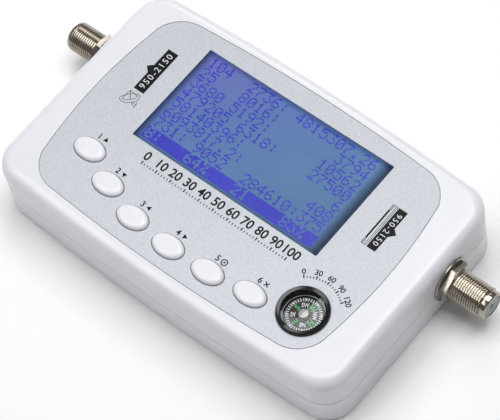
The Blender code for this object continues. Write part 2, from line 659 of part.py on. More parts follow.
def make_barrel_profile():
    """The threaded tube, drawn from its mouth to its tail, with its bore."""
    tip = CONNECTOR_REACH
    tip_start = tip - CONNECTOR_TIP_LENGTH
    thread_end = tip_start - CONNECTOR_GROOVE_WIDTH
    core = THREAD_RADIUS - THREAD_DEPTH
    outer = [(CONNECTOR_TIP_RADIUS - CONNECTOR_TIP_CHAMFER, tip),
             (CONNECTOR_TIP_RADIUS, tip - CONNECTOR_TIP_CHAMFER),
             (CONNECTOR_TIP_RADIUS, tip_start), (CONNECTOR_GROOVE_RADIUS, tip_start),
             (CONNECTOR_GROOVE_RADIUS, thread_end), (core, thread_end)]
    for turn in range(THREAD_TURNS):
        start = thread_end - turn * THREAD_PITCH
        outer += [(THREAD_RADIUS, start - THREAD_PITCH / 2), (core, start - THREAD_PITCH)]
    flange_top = -CASE_WALL - FIT
    flange_bottom = flange_top - CONNECTOR_FLANGE_THICKNESS
    outer += [(core, flange_top), (CONNECTOR_FLANGE_RADIUS, flange_top),
              (CONNECTOR_FLANGE_RADIUS, flange_bottom), (core, flange_bottom), (core, TUBE_BOTTOM)]
    return outer + [(CONNECTOR_BORE_RADIUS, TUBE_BOTTOM), (CONNECTOR_BORE_RADIUS, tip)]


def make_connector(name, side):
    """Five pieces on an empty whose Z points out of the case's end."""
    base = bpy.data.objects.new(name + "_axis", None)
    PARTS.objects.link(base)
    base.location = (side * HALF_LENGTH, CONNECTOR_Y, SEAM_HEIGHT)
    base.rotation_euler = (0, side * math.pi / 2, 0)
    turned(name + "_barrel", make_barrel_profile(), NICKEL, steps=ROUND_STEPS, ring=True,
           parent=base)
    hole = THREAD_RADIUS + FIT
    washer_top = FIT + WASHER_THICKNESSES[name]
    turned(name + "_washer", [(WASHER_RADIUS, washer_top), (WASHER_RADIUS, FIT), (hole, FIT),
                              (hole, washer_top)], NICKEL, ring=True, parent=base)
    nut_bottom = washer_top + FIT
    nut_top = nut_bottom + NUT_THICKNESS
    corner = NUT_ACROSS_FLATS / 2 / math.cos(math.pi / NUT_SIDES)
    nut = rod(name + "_nut", corner, nut_bottom, nut_top, NICKEL, steps=NUT_SIDES, parent=base)
    nut.rotation_euler = (0, 0, NUT_TURNS[name])
    chamfer = NUT_THICKNESS * NUT_CHAMFER_SHARE
    flat = NUT_ACROSS_FLATS / 2
    outside = corner + FIT
    keep(nut, turned("nut_round_" + name, [(0, nut_top + FIT), (flat, nut_top + FIT),
                                           (flat, nut_top), (outside, nut_top - chamfer),
                                           (outside, nut_bottom - FIT), (0, nut_bottom - FIT)],
                     steps=NUT_ROUND_STEPS, parent=base))
    cut(nut, rod("nut_hole_" + name, hole, nut_bottom - OVERRUN, nut_top + OVERRUN, parent=base))
    mouth = CONNECTOR_REACH - INSULATOR_SETBACK
    insulator_radius = CONNECTOR_BORE_RADIUS - FIT
    turned(name + "_insulator", [(insulator_radius, mouth), (insulator_radius, TUBE_BOTTOM),
                                 (CONTACT_SLEEVE_RADIUS, TUBE_BOTTOM),
                                 (CONTACT_SLEEVE_RADIUS, mouth)], PALE_PLASTIC, ring=True,
           parent=base)
    rod(name + "_contact", CONTACT_RADIUS, TUBE_BOTTOM - CONTACT_TAIL_LENGTH,
        mouth - INSULATOR_SETBACK, BRASS, steps=SMALL_ROUND_STEPS, parent=base)


# Main board and what it carries

def make_main_board():
    outline = bowed_outline(BOARD_HALF_LENGTH, BOARD_HALF_WIDTH, 0, 0, BOARD_CORNER_RADIUS,
                            FLAT_SIDE_STEPS)
    board = slab("main_board", outline, BOARD_BOTTOM, BOARD_TOP, GREEN_BOARD)
    notch_depth = BOARD_HALF_LENGTH - HALF_LENGTH - TUBE_BOTTOM + FIT
    notch_width = 2 * (CONNECTOR_FLANGE_RADIUS + BOARD_NOTCH_MARGIN)
    for side in (-1, 1):
        x = side * (BOARD_HALF_LENGTH - notch_depth / 2 + OVERRUN / 2)
        cut(board, box("board_notch", notch_depth + OVERRUN, notch_width, BOARD_BOTTOM - OVERRUN,
                       BOARD_TOP + OVERRUN, place=(x, CONNECTOR_Y, 0)))
    for place in screw_places().values():
        cut(board, rod("board_hole", SCREW_RADIUS + FIT, BOARD_BOTTOM - OVERRUN,
                       BOARD_TOP + OVERRUN, place=place, steps=SMALL_ROUND_STEPS))


def make_tuner():
    """An open can under the board and the lid that snaps over it."""
    place = (TUNER_X, TUNER_Y, 0)
    lid_bottom = CASE_WALL + TUNER_FLOOR_GAP
    can_bottom = lid_bottom + TUNER_WALL + FIT
    can_top = BOARD_BOTTOM - FIT
    can = box("tuner_can", TUNER_LENGTH, TUNER_WIDTH, can_bottom, can_top, STEEL, place)
    cut(can, box("can_room", TUNER_LENGTH - 2 * TUNER_WALL, TUNER_WIDTH - 2 * TUNER_WALL,
                 can_bottom - OVERRUN, can_top + OVERRUN, place=place))
    border = 2 * (TUNER_WALL + FIT)
    lid = box("tuner_lid", TUNER_LENGTH + border, TUNER_WIDTH + border, lid_bottom,
              lid_bottom + TUNER_SKIRT_HEIGHT, STEEL, place)
    cut(lid, box("lid_room", TUNER_LENGTH + 2 * FIT, TUNER_WIDTH + 2 * FIT,
                 lid_bottom + TUNER_WALL, CASE_HEIGHT, place=place))


def make_board_parts():
    base = BOARD_TOP + FIT
    box("controller_chip", CONTROLLER_CHIP_SIZE, CONTROLLER_CHIP_SIZE, base,
        base + CHIP_THICKNESS, BLACK_PLASTIC, (*share_place(CONTROLLER_CHIP_PLACE_SHARES), 0))
    box("tuner_chip", TUNER_CHIP_SIZE, TUNER_CHIP_SIZE, base, base + CHIP_THICKNESS,
        BLACK_PLASTIC, (*share_place(TUNER_CHIP_PLACE_SHARES), 0))
    place = (*share_place(BUZZER_PLACE_SHARES), 0)
    buzzer = rod("buzzer", BUZZER_RADIUS, base, base + BUZZER_HEIGHT, BLACK_PLASTIC, place)
    cut(buzzer, rod("buzzer_port", BUZZER_PORT_RADIUS, base + BUZZER_HEIGHT - BUZZER_PORT_DEPTH,
                    base + BUZZER_HEIGHT + OVERRUN, place=place, steps=SMALL_ROUND_STEPS))
    for name, shares in CAPACITOR_PLACE_SHARES.items():
        neck = base + CAPACITOR_RADIUS / 2
        waist = CAPACITOR_RADIUS - CAPACITOR_NOTCH_DEPTH
        top = base + CAPACITOR_HEIGHT
        turned(name, [(0, top), (CAPACITOR_RADIUS, top), (CAPACITOR_RADIUS, neck),
                      (waist, neck - CAPACITOR_NOTCH_DEPTH),
                      (CAPACITOR_RADIUS, neck - 2 * CAPACITOR_NOTCH_DEPTH),
                      (CAPACITOR_RADIUS, base), (0, base)], ALUMINIUM,
               (*share_place(shares), 0), steps=SMALL_ROUND_STEPS)


clear_scene()
PARTS = make_collection("satellite_signal_meter")
CUTTERS = make_collection("cutters")

WHITE_PLASTIC = make_material("white_plastic", (0.86, 0.86, 0.88), 0.25)
SILVER_PRINT = make_material("silver_print", (0.64, 0.66, 0.70), 0.45)
CLEAR_PLASTIC = make_material("clear_plastic", (0.92, 0.94, 0.95), 0.05, alpha=0.2)
LCD_BLUE = make_material("lcd_blue", (0.16, 0.24, 0.42), 0.2)
MILKY_PLASTIC = make_material("milky_plastic", (0.8, 0.82, 0.85), 0.4)
BLACK_STEEL = make_material("black_steel", (0.02, 0.02, 0.03), 0.4, metallic=0.6)
BLACK_PLASTIC = make_material("black_plastic", (0.02, 0.02, 0.02), 0.5)
DARK_PLASTIC = make_material("dark_plastic", (0.05, 0.05, 0.06), 0.4)
GLOSS_BLACK = make_material("gloss_black", (0.01, 0.01, 0.01), 0.1)
CARD_BLACK = make_material("card_black", (0.015, 0.015, 0.015), 0.6)
PALE_PLASTIC = make_material("pale_plastic", (0.45, 0.5, 0.55), 0.4)
GREEN_BOARD = make_material("green_board", (0.03, 0.16, 0.07), 0.4)
NICKEL = make_material("nickel", (0.62, 0.58, 0.52), 0.25, metallic=1.0)
STEEL = make_material("steel", (0.55, 0.55, 0.56), 0.3, metallic=1.0)
BRASS = make_material("brass", (0.6, 0.46, 0.2), 0.3, metallic=1.0)
ALUMINIUM = make_material("aluminium", (0.7, 0.7, 0.72), 0.35, metallic=1.0)

make_top_shell()
make_bottom_shell()
make_screws()
make_face_label()
make_display()
make_header()
for key_name, key_shares in KEY_PLACE_SHARES.items():
    make_key(key_name, key_shares)
make_compass()
make_connector("input", -1)
make_connector("output", 1)
make_main_board()
make_tuner()
make_board_parts()
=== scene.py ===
import json
import math

import bmesh
import bpy
from mathutils import Matrix, Vector


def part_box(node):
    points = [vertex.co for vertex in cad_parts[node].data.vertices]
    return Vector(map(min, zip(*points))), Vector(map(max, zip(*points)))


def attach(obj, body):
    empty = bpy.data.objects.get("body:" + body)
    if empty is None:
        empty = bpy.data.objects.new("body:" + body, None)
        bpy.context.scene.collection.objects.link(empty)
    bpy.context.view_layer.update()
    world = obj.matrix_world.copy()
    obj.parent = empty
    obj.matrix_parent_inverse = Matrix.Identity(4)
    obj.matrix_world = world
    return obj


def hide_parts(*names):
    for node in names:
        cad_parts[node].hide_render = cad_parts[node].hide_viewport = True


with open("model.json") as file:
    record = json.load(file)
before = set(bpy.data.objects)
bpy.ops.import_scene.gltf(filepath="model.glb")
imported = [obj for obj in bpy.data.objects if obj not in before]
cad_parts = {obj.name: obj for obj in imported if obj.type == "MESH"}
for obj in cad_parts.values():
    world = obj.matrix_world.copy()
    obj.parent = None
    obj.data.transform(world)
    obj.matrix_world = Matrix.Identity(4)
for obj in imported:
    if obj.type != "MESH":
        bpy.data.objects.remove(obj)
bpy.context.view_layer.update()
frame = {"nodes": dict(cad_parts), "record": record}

FULL_TURN = 2 * math.pi

# Case, in metres, as in the part's source
HALF_LENGTH = 0.065
HALF_WIDTH = 0.04045
CASE_TOP = 0.0223
CASE_WALL = 0.002
CASE_CORNER_RADIUS = 0.0098
CASE_TOP_ROUND = 0.0035
CASE_BOTTOM_ROUND = 0.0006
CASE_SIDE_BOW = 0.002
CASE_END_BOW = 0.0001
SEAM_HEIGHT = 0.0105
SEAM_GAP = 0.00012
RIM_ROUND = 0.00015
LIP_HEIGHT = 0.0014
LIP_INSET = 0.0012
BOSS_RADIUS = 0.0031
BOSS_BORE_RADIUS = 0.0015
BOSS_BOTTOM = 0.0101
POST_RADIUS = 0.0038
POST_TOP = 0.0079
WELL_RADIUS = 0.0028
WELL_DEPTH = 0.0042
SCREW_X = 0.054925
SCREW_Y = 0.02973075

# Face label and the thickness of what is printed on it
LABEL_HALF_LENGTH = 0.05535
LABEL_HALF_WIDTH = 0.0359
LABEL_X = -0.000585
LABEL_Y = 0.00038832
LABEL_THICKNESS = 0.0004
LABEL_CORNER_RADIUS = 0.0111
LABEL_SIDE_BOW = 0.00255
LABEL_END_BOW = 0.00414
LABEL_EDGE_ROUND = 0.00008
RECESS_GAP = 0.00015
RECESS_DEPTH = 0.0006
WINDOW_X = -0.0006565
WINDOW_Y = 0.01207432
WINDOW_HALF_LENGTH = 0.035
WINDOW_HALF_WIDTH = 0.0181
WINDOW_CORNER_RADIUS = 0.0003
PRINT_THICKNESS = 0.000012
PRINT_SINK = 0.00001

# Printed figures and strokes. Ticks have a short and a long kind.
FIGURE_HEIGHT_SHARE = 0.7
FIGURE_WEIGHT = 0.03
THIN_STROKE = 0.00017
TICK_LENGTHS = (0.0007, 0.0011)
TICK_STROKES = (0.00028, 0.0004)

# Flags beside both sockets, with the figures on them: height, place and turn
LEFT_FLAG = ((-0.0421, 0.0064), (-0.0423, 0.0229), (-0.0462, 0.0229), (-0.0462, 0.0161),
             (-0.04785, 0.01465), (-0.0461, 0.013), (-0.046, 0.0064))
RIGHT_FLAG = ((0.0439, 0.0049), (0.047, 0.0049), (0.047, 0.0108), (0.0487, 0.01255),
              (0.047, 0.014), (0.047, 0.0202), (0.0439, 0.0202))
FLAG_TEXT = "950-2150"
FLAG_FIGURES = ((0.0021, (-0.0441, 0.01465), math.pi / 2), (0.0018, (0.04545, 0.01255), -math.pi / 2))
FLAG_FIGURE_WEIGHT = 0.0
FLAG_FIGURE_SPACING = 1.25

# The dish sign, in its own frame: along its rim, then across it
DISH_CENTRE = (-0.04465, 0.00313)
DISH_TURN = math.radians(41.4)
DISH_RIM = (0.0031, 0.0012)
DISH_BOWL_DEPTH = 0.00186
DISH_INNER = (0.0023, 0.00075)
DISH_FEED = (0.0002, 0.0025)
DISH_FOOT = ((0.0005, -0.00185), (0.00105, -0.0036), (0.0018, -0.003), (0.0022, -0.0018))
DISH_FOOT_RIB = ((0.0009, -0.0018), (0.0017, -0.0029))

# The receiver sign: a long box seen from its side
RECEIVER_FRONT = 0.00505
RECEIVER_BACK = 0.02015
RECEIVER_LINES = (0.0418, 0.04302, 0.04353)
RECEIVER_STRIP = (0.0418, 0.0423)
RECEIVER_END = 0.0021

# Scale printed below the display
SCALE_LEFT = -0.0268
SCALE_RIGHT = 0.0278
SCALE_LINE_Y = -0.0123
SCALE_STEPS = 50
SCALE_NUMBER_EVERY = 5
SCALE_LAST_NUMBER = 100
SCALE_FIGURE_Y = -0.0093
SCALE_FIGURE_HEIGHT = 0.0029

# Signs beside the keys
SIGN_OFFSET = (0.0007, 0.0052)
SIGN_NUMBER_SHIFT = 0.0012
SIGN_HALF = 0.00095
SIGN_DOT_SHARE = 1 / 3
SIGN_STROKE = 0.00038
SIGN_FIGURE_HEIGHT = 0.0019
POINTER_CORNERS = 3
POINTER_TURNS = {"key_up": math.pi / 2, "key_down": -math.pi / 2, "key_left": math.pi, "key_right": 0}
CROSS_TURNS = (math.radians(45), math.radians(135))

# Scale round the compass
ARC_RADIUS = 0.0106
ARC_TURNS = (math.radians(128), math.radians(50))
ARC_STEPS = 16
ARC_EVERY = 4
ARC_NUMBER_STEP = 30
ARC_FIGURE_RADIUS = 0.0127
ARC_FIGURE_HEIGHT = 0.0017

# Display: 128 by 64 dots in rows of 21 characters. The bar row is inverted.
DOTS_X = 128
DOTS_Y = 64
PICTURE_LEFT = -0.0347
PICTURE_FRONT = -0.0041
PICTURE_LENGTH = 0.0649
PICTURE_WIDTH = 0.034
CELL_DOTS_X = 6
CELL_DOTS_Y = 8
DOT_FILL_SHARE = 0.94
DOT_HEIGHT = 0.00003
DOT_SINK = 0.00001
DOT_FACES = ((3, 2, 1, 0), (4, 5, 6, 7), (0, 1, 5, 4), (1, 2, 6, 5), (2, 3, 7, 6), (3, 0, 4, 7))
DISPLAY_ROWS = (
    "104  2736: 4815307.26",
    "25   8016:       3794",
    "3680 5192:      10562",
    "479205 6318:    27500",
    "58140396:           6",
    "6093817.2:        408",
    "731: 9052  284610:375",
    "8:   64%   21    83% ",
)
BAR_ROW = 7

# Figures of the display, each as seven rows of five dots
GLYPHS = {
    "0": ".###. #...# #..## #.#.# ##..# #...# .###.",
    "1": "..#.. .##.. ..#.. ..#.. ..#.. ..#.. .###.",
    "2": ".###. #...# ....# ...#. ..#.. .#... #####",
    "3": "##### ...#. ..#.. ...#. ....# #...# .###.",
    "4": "...#. ..##. .#.#. #..#. ##### ...#. ...#.",
    "5": "##### #.... ####. ....# ....# #...# .###.",
    "6": "..##. .#... #.... ####. #...# #...# .###.",
    "7": "##### ....# ...#. ..#.. .#... .#... .#...",
    "8": ".###. #...# #...# .###. #...# #...# .###.",
    "9": ".###. #...# #...# .#### ....# ...#. .##..",
    ":": "..... ..#.. ..#.. ..... ..#.. ..#.. .....",
    ".": "..... ..... ..... ..... ..... .##.. .##..",
    "%": "##..# ##.#. ...#. ..#.. .#... .#.## #..##",
}

# Keys, with heights from the top of the case
KEY_BODIES = {"key_" + side: side + "_key" for side in ("up", "down", "left", "right", "enter", "back")}
KEY_HALF_LENGTH = 0.00545
KEY_HALF_WIDTH = 0.00355
KEY_PROUD = 0.00125
KEY_GAP = 0.00025
KEY_FLANGE_TOP = -0.0023
KEY_FLANGE_BOTTOM = -0.0033
KEY_FLANGE_BORDER = 0.0006
KEY_STEM_RADIUS = 0.0022
KEY_STEM_BOTTOM = -0.0049
KEY_RIM_SHARE = 0.1
KEY_FLAT_SHARE = 0.6
KEY_MIDDLE_SHARE = 0.54
KEY_EDGE_POWERS = (2.3, 0.56)

# Compass, with heights from the top of the case. Slopes are points of (radius, height).
COMPASS_RIM_RADIUS = 0.00795
COMPASS_RIM_HEIGHT = 0.0012
COMPASS_CUP_RADIUS = 0.00713
COMPASS_BORE_RADIUS = 0.00635
COMPASS_OUTER_SLOPE = ((0.00752, 0.00112), (0.00766, 0.00098), (0.00787, 0.00062), (0.00794, 0.0003))
COMPASS_INNER_SLOPE = ((0.00645, 0.00067), (0.00645, 0.0009), (0.0065, 0.00096), (0.00662, 0.001),
                       (0.0072, 0.00113), (0.00734, 0.00117))
COMPASS_DEPTH = 0.007
COMPASS_FLOOR = 0.0012
LENS_RADIUS = 0.0067
LENS_EDGE = 0.0006
LENS_CROWN = 0.0005
LENS_THICKNESS = 0.0007
LENS_GAP = 0.00005
LENS_BEVEL = 0.00006
TRIM_WIDTH = 0.00024
TRIM_TOP = -0.0021
JEWEL_RADIUS = 0.00162
JEWEL_TOP = -0.001
JEWEL_HEIGHT = 0.0009
JEWEL_ROUND = 0.00045
CARD_RADIUS = 0.00583
CARD_TOP = -0.0022
CARD_THICKNESS = 0.0005
CARD_EDGE_ROUND = 0.000125
CARD_NORTH_TURN = math.radians(-14)
CARD_LETTERS = "N NE E SE S SW W NW".split()
CARD_LETTER_RADIUS = 0.00305
CARD_LETTER_HEIGHTS = (0.0019, 0.0013)
CARD_LETTER_SQUEEZE = 0.8
CARD_TICKS = 40
CARD_TICK_SPAN = (0.0044, 0.0054)
CARD_TICK_STROKE = 0.0003
CARD_WEDGE_SPAN = (0.0042, 0.0053)
CARD_WEDGE_HALF = 0.0005

# Sockets on both ends, with heights from the end of the case. Setbacks are from the mouth.
SOCKET_SIDES = {"input": -1, "output": 1}
SOCKET_Y = 0.0151283
SOCKET_REACH = 0.0153
SOCKET_BORE_RADIUS = 0.0036
SOCKET_TAIL = -0.0078
THREAD_RADIUS = 0.00475
THREAD_DEPTH = 0.0004
THREAD_PITCH = 0.000794
THREAD_START = 0.0026
THREAD_SETBACKS = {"input": 0.0015, "output": 0.0023}
THREAD_SAMPLES = 10
THREAD_CREST_SHARE = 0.2
THREAD_RUNOUT = 0.0005
TIP_RADIUS = 0.0044
GROOVE_RADIUS = 0.004
GROOVE_WIDTH = 0.0007
MOUTH_LIP = 0.0001
MOUTH_ROUNDS = {"input": 0.0015, "output": 0.0006}
FLANGE_RADIUS = 0.006
FLANGE_TOP = -0.0023
FLANGE_BOTTOM = -0.0038
HOLE_CLEARANCE = 0.0003
WASHER_RADIUS = 0.0072
WASHER_THICKNESSES = {"input": 0.0017, "output": 0.0005}
WASHER_GAP = 0.00005
WASHER_BORE_GAP = 0.00015
WASHER_EDGE_SHARE = 0.2
WASHER_TEETH = 44
TOOTH_DEPTHS = {"input": 0.00022, "output": 0.0}
NUT_ACROSS_FLATS = 0.0111
NUT_THICKNESS = 0.0019
NUT_GAP = 0.000075
NUT_BORE_GAP = 0.0001
NUT_CHAMFER_SLOPE = 0.577
NUT_SIDES = 6
NUT_TURNS = {"input": math.radians(44.5), "output": 0.0}
NUT_EDGE_ROUND = 0.00012
INSULATOR_RADIUS = 0.00356
INSULATOR_SETBACK = 0.00016
SLEEVE_RADIUS = 0.0007
FUNNEL_SHARES = (2.2, 1.8, 1.3)

# Steps along curves, and limits of the mesh work
SIDE_STEPS = 20
CORNER_STEPS = 16
END_STEPS = 8
ROUND_STEPS = 10
SMALL_STEPS = 4
MOUTH_STEPS = 8
TRIM_STEPS = 16
SIGN_STEPS = 18
KEY_STEPS = 72
KEY_RINGS = 18
TURN_STEPS = 96
SCREW_STEPS = 40
BEVEL_SEGMENTS = 2
SETTLE_ROUNDS = 20
SUPPORT_INSET = 0.0003
OVERRUN = 0.001
MERGE_DISTANCE = 5e-7
SHARP_ANGLE = math.radians(32)
FLAT_ANGLE = math.radians(8)

# Noise: detail and roughness of a fine grain and of a slow drift, and the span of its values
GRAIN_NOISE = (4.0, 0.6)
DRIFT_NOISE = (2.0, 0.5)
NOISE_SPAN = (0.3, 0.7)
WHOLE_SPAN = (0.0, 1.0)
EVEN = (1, 1, 1)
TURNING_MARKS = (6, 1, 1)

# Surfaces: dark and light colour, size of the blots and of the grain, least and most roughness and
# depth of the relief. Then, where it has them, its share of metal, its stretch and its span.
SURFACES = {
    "white_shell": ((0.785, 0.788, 0.833), (0.81, 0.813, 0.858), 0.02, 0.0006, (0.2, 0.28), 1.2e-6),
    "white_key": ((0.82, 0.82, 0.862), (0.845, 0.845, 0.887), 0.006, 0.0005, (0.2, 0.28), 1e-6),
    "black_ink": ((0.002, 0.002, 0.0025), (0.006, 0.006, 0.007), 0.0006, 0.0002, (0.35, 0.5), 2e-6),
    "pale_ink": ((0.62, 0.64, 0.67), (0.74, 0.75, 0.78), 0.0006, 0.0002, (0.35, 0.5), 2e-6),
    "gloss_black_moulding": ((0.01, 0.01, 0.011), (0.018, 0.018, 0.02), 0.004, 0.0006, (0.1, 0.18), 1e-6),
    "card_print_black": ((0.006, 0.007, 0.006), (0.016, 0.017, 0.016), 0.0008, 0.0003, (0.4, 0.6), 4e-6),
    "card_print_white": ((0.74, 0.75, 0.77), (0.86, 0.87, 0.89), 0.0006, 0.0002, (0.4, 0.6), 2e-6),
    "card_print_green": ((0.04, 0.42, 0.13), (0.09, 0.60, 0.20), 0.0006, 0.0002, (0.4, 0.6), 2e-6),
    "nickel_plate": ((0.38, 0.34, 0.285), (0.46, 0.42, 0.355), 0.003, 0.0004, (0.07, 0.14), 1e-6,
                     0.85, TURNING_MARKS),
    "nut_plate": ((0.38, 0.35, 0.30), (0.47, 0.435, 0.38), 0.002, 0.0005, (0.10, 0.20), 1.5e-6, 0.85),
    "bright_ring": ((0.66, 0.67, 0.68), (0.74, 0.75, 0.76), 0.002, 0.0004, (0.3, 0.4), 1e-6, 0.3),
    "pivot_cap": ((0.40, 0.38, 0.35), (0.46, 0.44, 0.405), 0.0012, 0.0003, (0.2, 0.28), 1e-6, 0.4),
    "pale_insulator": ((0.25, 0.29, 0.315), (0.32, 0.36, 0.385), 0.0012, 0.0004, (0.3, 0.45), 4e-6),
    "board_laminate": ((0.01, 0.10, 0.035), (0.025, 0.17, 0.06), 0.004, 0.0004, (0.3, 0.45), 1e-5),
    "blackened_steel": ((0.01, 0.01, 0.013), (0.022, 0.022, 0.028), 0.003, 0.0003, (0.35, 0.5), 4e-6, 0.5),
    "black_moulding": ((0.012, 0.012, 0.013), (0.026, 0.026, 0.028), 0.003, 0.0003, (0.4, 0.55), 8e-6),
    "dark_moulding": ((0.035, 0.035, 0.04), (0.06, 0.06, 0.065), 0.002, 0.0003, (0.35, 0.5), 6e-6),
    "milky_guide": ((0.74, 0.76, 0.79), (0.82, 0.84, 0.87), 0.006, 0.0005, (0.35, 0.45), 4e-6),
    "tinned_steel": ((0.46, 0.46, 0.47), (0.60, 0.60, 0.61), 0.004, 0.0004, (0.24, 0.4), 3e-6, 1.0),
    "brass_contact": ((0.52, 0.38, 0.14), (0.68, 0.52, 0.24), 0.001, 0.0003, (0.22, 0.36), 2e-6, 1.0),
    "can_aluminium": ((0.62, 0.62, 0.64), (0.74, 0.74, 0.76), 0.002, 0.0003, (0.26, 0.4), 3e-6, 1.0),
    "pale_floor": ((0.945, 0.943, 0.938), (0.96, 0.958, 0.953), 0.3, 0.003, (0.85, 0.95), 4e-6, 0.0,
                   EVEN, WHOLE_SPAN),
}
MORE_INPUTS = {
    "black_ink": {"Specular IOR Level": 0.15},
    "pale_insulator": {"Subsurface Weight": 0.1},
    "pale_floor": {"Specular IOR Level": 0.1},
}
SLOT_MATERIALS = {
    "clear_plastic": "clear_plate",
    "lcd_blue": "lit_screen",
    "milky_plastic": "milky_guide",
    "black_steel": "blackened_steel",
    "black_plastic": "black_moulding",
    "dark_plastic": "dark_moulding",
    "card_black": "card_print_black",
    "green_board": "board_laminate",
    "steel": "tinned_steel",
    "brass": "brass_contact",
    "aluminium": "can_aluminium",
}

# Silver ink: its tone with painted shade that darkens it from left to right, a painted sheen that pales it
# from back to front, its specks and its clouds
SILVER_TONE_WITH_PAINTED_SHADE = ((0.0, (0.558, 0.576, 0.620)), (1.0, (0.538, 0.556, 0.599)))
SILVER_PAINTED_SHEEN = ((0.0, (1.03, 1.03, 1.03)), (1.0, (0.955, 0.955, 0.955)))
SPECK_NOISE = (0.00022, 2.0, 0.7)
SPECK_STOPS = ((0.32, (0.80, 0.80, 0.81)), (0.5, (0.97, 0.97, 0.97)), (0.68, (1.12, 1.12, 1.12)))
SPECK_ROUGHNESS = (0.38, 0.55)
SPECK_RELIEF = 6e-6
CLOUD_NOISE = (0.0009, 3.0, 0.6)
CLOUD_STOPS = ((0.3, (0.94, 0.94, 0.945)), (0.7, (1.04, 1.04, 1.04)))
SILVER_METAL = 0.25

# Clear plastic
CLEAR_TINTS = {"clear_plate": (0.97, 0.98, 0.985), "clear_dome": (0.965, 0.97, 0.975)}
CLEAR_ROUGHNESS = (0.015, 0.06)
CLEAR_BEND = 1.5
DUST_SIZE = 0.002
DUST_RELIEF = 4e-7

# Screen and its dots. A grain is its size, its least and most roughness and its relief.
# Painted shade of the window's recess: over these widths the picture fades into the border, whose stops
# darken towards the right and front
SCREEN_FADE_IN = 0.0008
SCREEN_FADE_OUT = 0.0021
SCREEN_SLOPE_SHARES = (0.6, 0.4)
SCREEN_STOPS = ((0.0, (0.185, 0.197, 0.57)), (0.3, (0.135, 0.219, 0.52)), (0.65, (0.124, 0.248, 0.47)),
                (1.0, (0.112, 0.21, 0.41)))
SCREEN_BORDER_WITH_PAINTED_SHADE = ((0.0, (0.026, 0.052, 0.16)), (0.5, (0.01, 0.028, 0.082)), (1.0, (0.002, 0.01, 0.035)))
SCREEN_PATCH_SIZE = 0.012
SCREEN_PATCH_STOPS = ((0.3, (0.93, 0.94, 0.96)), (0.7, (1.05, 1.04, 1.02)))
SCREEN_GRAIN = (0.0004, (0.12, 0.2), 1e-6)
SCREEN_INPUTS = {"Base Color": (0.02, 0.03, 0.05, 1), "Emission Strength": 0.85}
DOT_PATCH_SIZE = 0.006
DOT_STOPS = ((0.3, (0.022, 0.018, 0.50)), (0.7, (0.034, 0.030, 0.58)))
DOT_GRAIN = (0.0004, (0.25, 0.35), 1e-6)
DOT_INPUTS = {"Base Color": (0.01, 0.01, 0.03, 1), "Emission Strength": 0.9}

# Camera, floor and lights
CAMERA_PLACE = (0.28938, -0.22617, 0.62843)
CAMERA_ROWS = ((0.7632, 0.6346, -0.1215), (0.5089, -0.7062, -0.4922), (-0.3982, 0.3139, -0.8619))
CAMERA_FOCAL_PIXELS = 2443.53
PHOTO_WIDTH_PIXELS = 500
SENSOR_WIDTH = 36
FLOOR_HALF = 3.0
FLOOR_DROP = 0.00005
# Place, aim, width, height and radiance of each soft light. Those without an aim hang level.
LIGHTS = {
    "key": ((-0.45, -0.42, 0.95), None, 0.46, 1.12, 3.2),
    "fill": ((0.05, 0.30, 0.95), None, 0.70, 0.75, 4.45),
    "front": ((0.5, -1.05, 0.75), (0, 0, 0), 0.8, 0.6, 0.4),
    "back": ((-0.65, 1.1, 0.95), None, 0.5, 0.9, 3.2),
}
WORLD_GREY = (0.07, 0.07, 0.074, 1)


# Materials

MATERIALS = {}


def with_settings(thing, **settings):
    for key, value in settings.items():
        setattr(thing, key, value)
    return thing


def fill_inputs(node, inputs):
    """Each input gets a value, or a link from another node's output."""
    for key, value in inputs.items():
        if isinstance(value, bpy.types.NodeSocket):
            node.id_data.links.new(value, node.inputs[key])
        else:
            node.inputs[key].default_value = value


def add_node(tree, kind, output, inputs, **settings):
    """One output of a new node. Its settings come first, as they change its inputs."""
    node = with_settings(tree.nodes.new(kind), **settings)
    fill_inputs(node, inputs)
    return node.outputs[output]


def new_material(name, stretch=EVEN):
    """A material's shader, and places in the shared frame, stretched along a grain."""
    material = bpy.data.materials.new(name)
    material.use_nodes = True
    MATERIALS[name] = material
    tree = material.node_tree
    source = add_node(tree, "ShaderNodeTexCoord", "Object", {})
    vector = add_node(tree, "ShaderNodeMapping", "Vector", {"Vector": source, "Scale": stretch})
    return tree.nodes["Principled BSDF"], vector


def noise(vector, size, detail, roughness):
    """Noise whose blots are about that many metres across."""
    return add_node(vector.id_data, "ShaderNodeTexNoise", "Fac", {
        "Vector": vector, "Scale": 1 / size, "Detail": detail, "Roughness": roughness})


def ramp(source, stops):
    colour = add_node(source.id_data, "ShaderNodeValToRGB", "Color", {"Fac": source})
    elements = colour.node.color_ramp.elements
    while len(elements) < len(stops):
        elements.new(1.0)
    for element, (position, shade) in zip(elements, stops):
        with_settings(element, position=position, color=(*shade, 1))
    return colour


def ranged(source, low, high, span=NOISE_SPAN):
    """A value that goes from low to high while its source goes over the span."""
    return add_node(source.id_data, "ShaderNodeMapRange", "Result", {
        "Value": source, "From Min": span[0], "From Max": span[1], "To Min": low, "To Max": high})


def calculated(operation, source, *others, **settings):
    return add_node(source.id_data, "ShaderNodeMath", "Value", dict(enumerate((source, *others))),
                    operation=operation, **settings)


def mixed(first, second, share=1.0, blend="MULTIPLY"):
    return add_node(first.id_data, "ShaderNodeMix", "Result",
                    {"Factor": share, "A": first, "B": second}, data_type="RGBA", blend_type=blend)


def axis_place(vector, axis):
    return add_node(vector.id_data, "ShaderNodeSeparateXYZ", axis, {"Vector": vector})


def relief(height, depth):
    return add_node(height.id_data, "ShaderNodeBump", "Normal", {"Height": height, "Distance": depth})


def finish(shader, vector, inputs, size, rough, depth):
    """The shader's inputs, with gloss and relief that follow one fine grain."""
    fine = noise(vector, size, *GRAIN_NOISE)
    fill_inputs(shader, {**inputs, "Roughness": ranged(fine, *rough), "Normal": relief(fine, depth)})


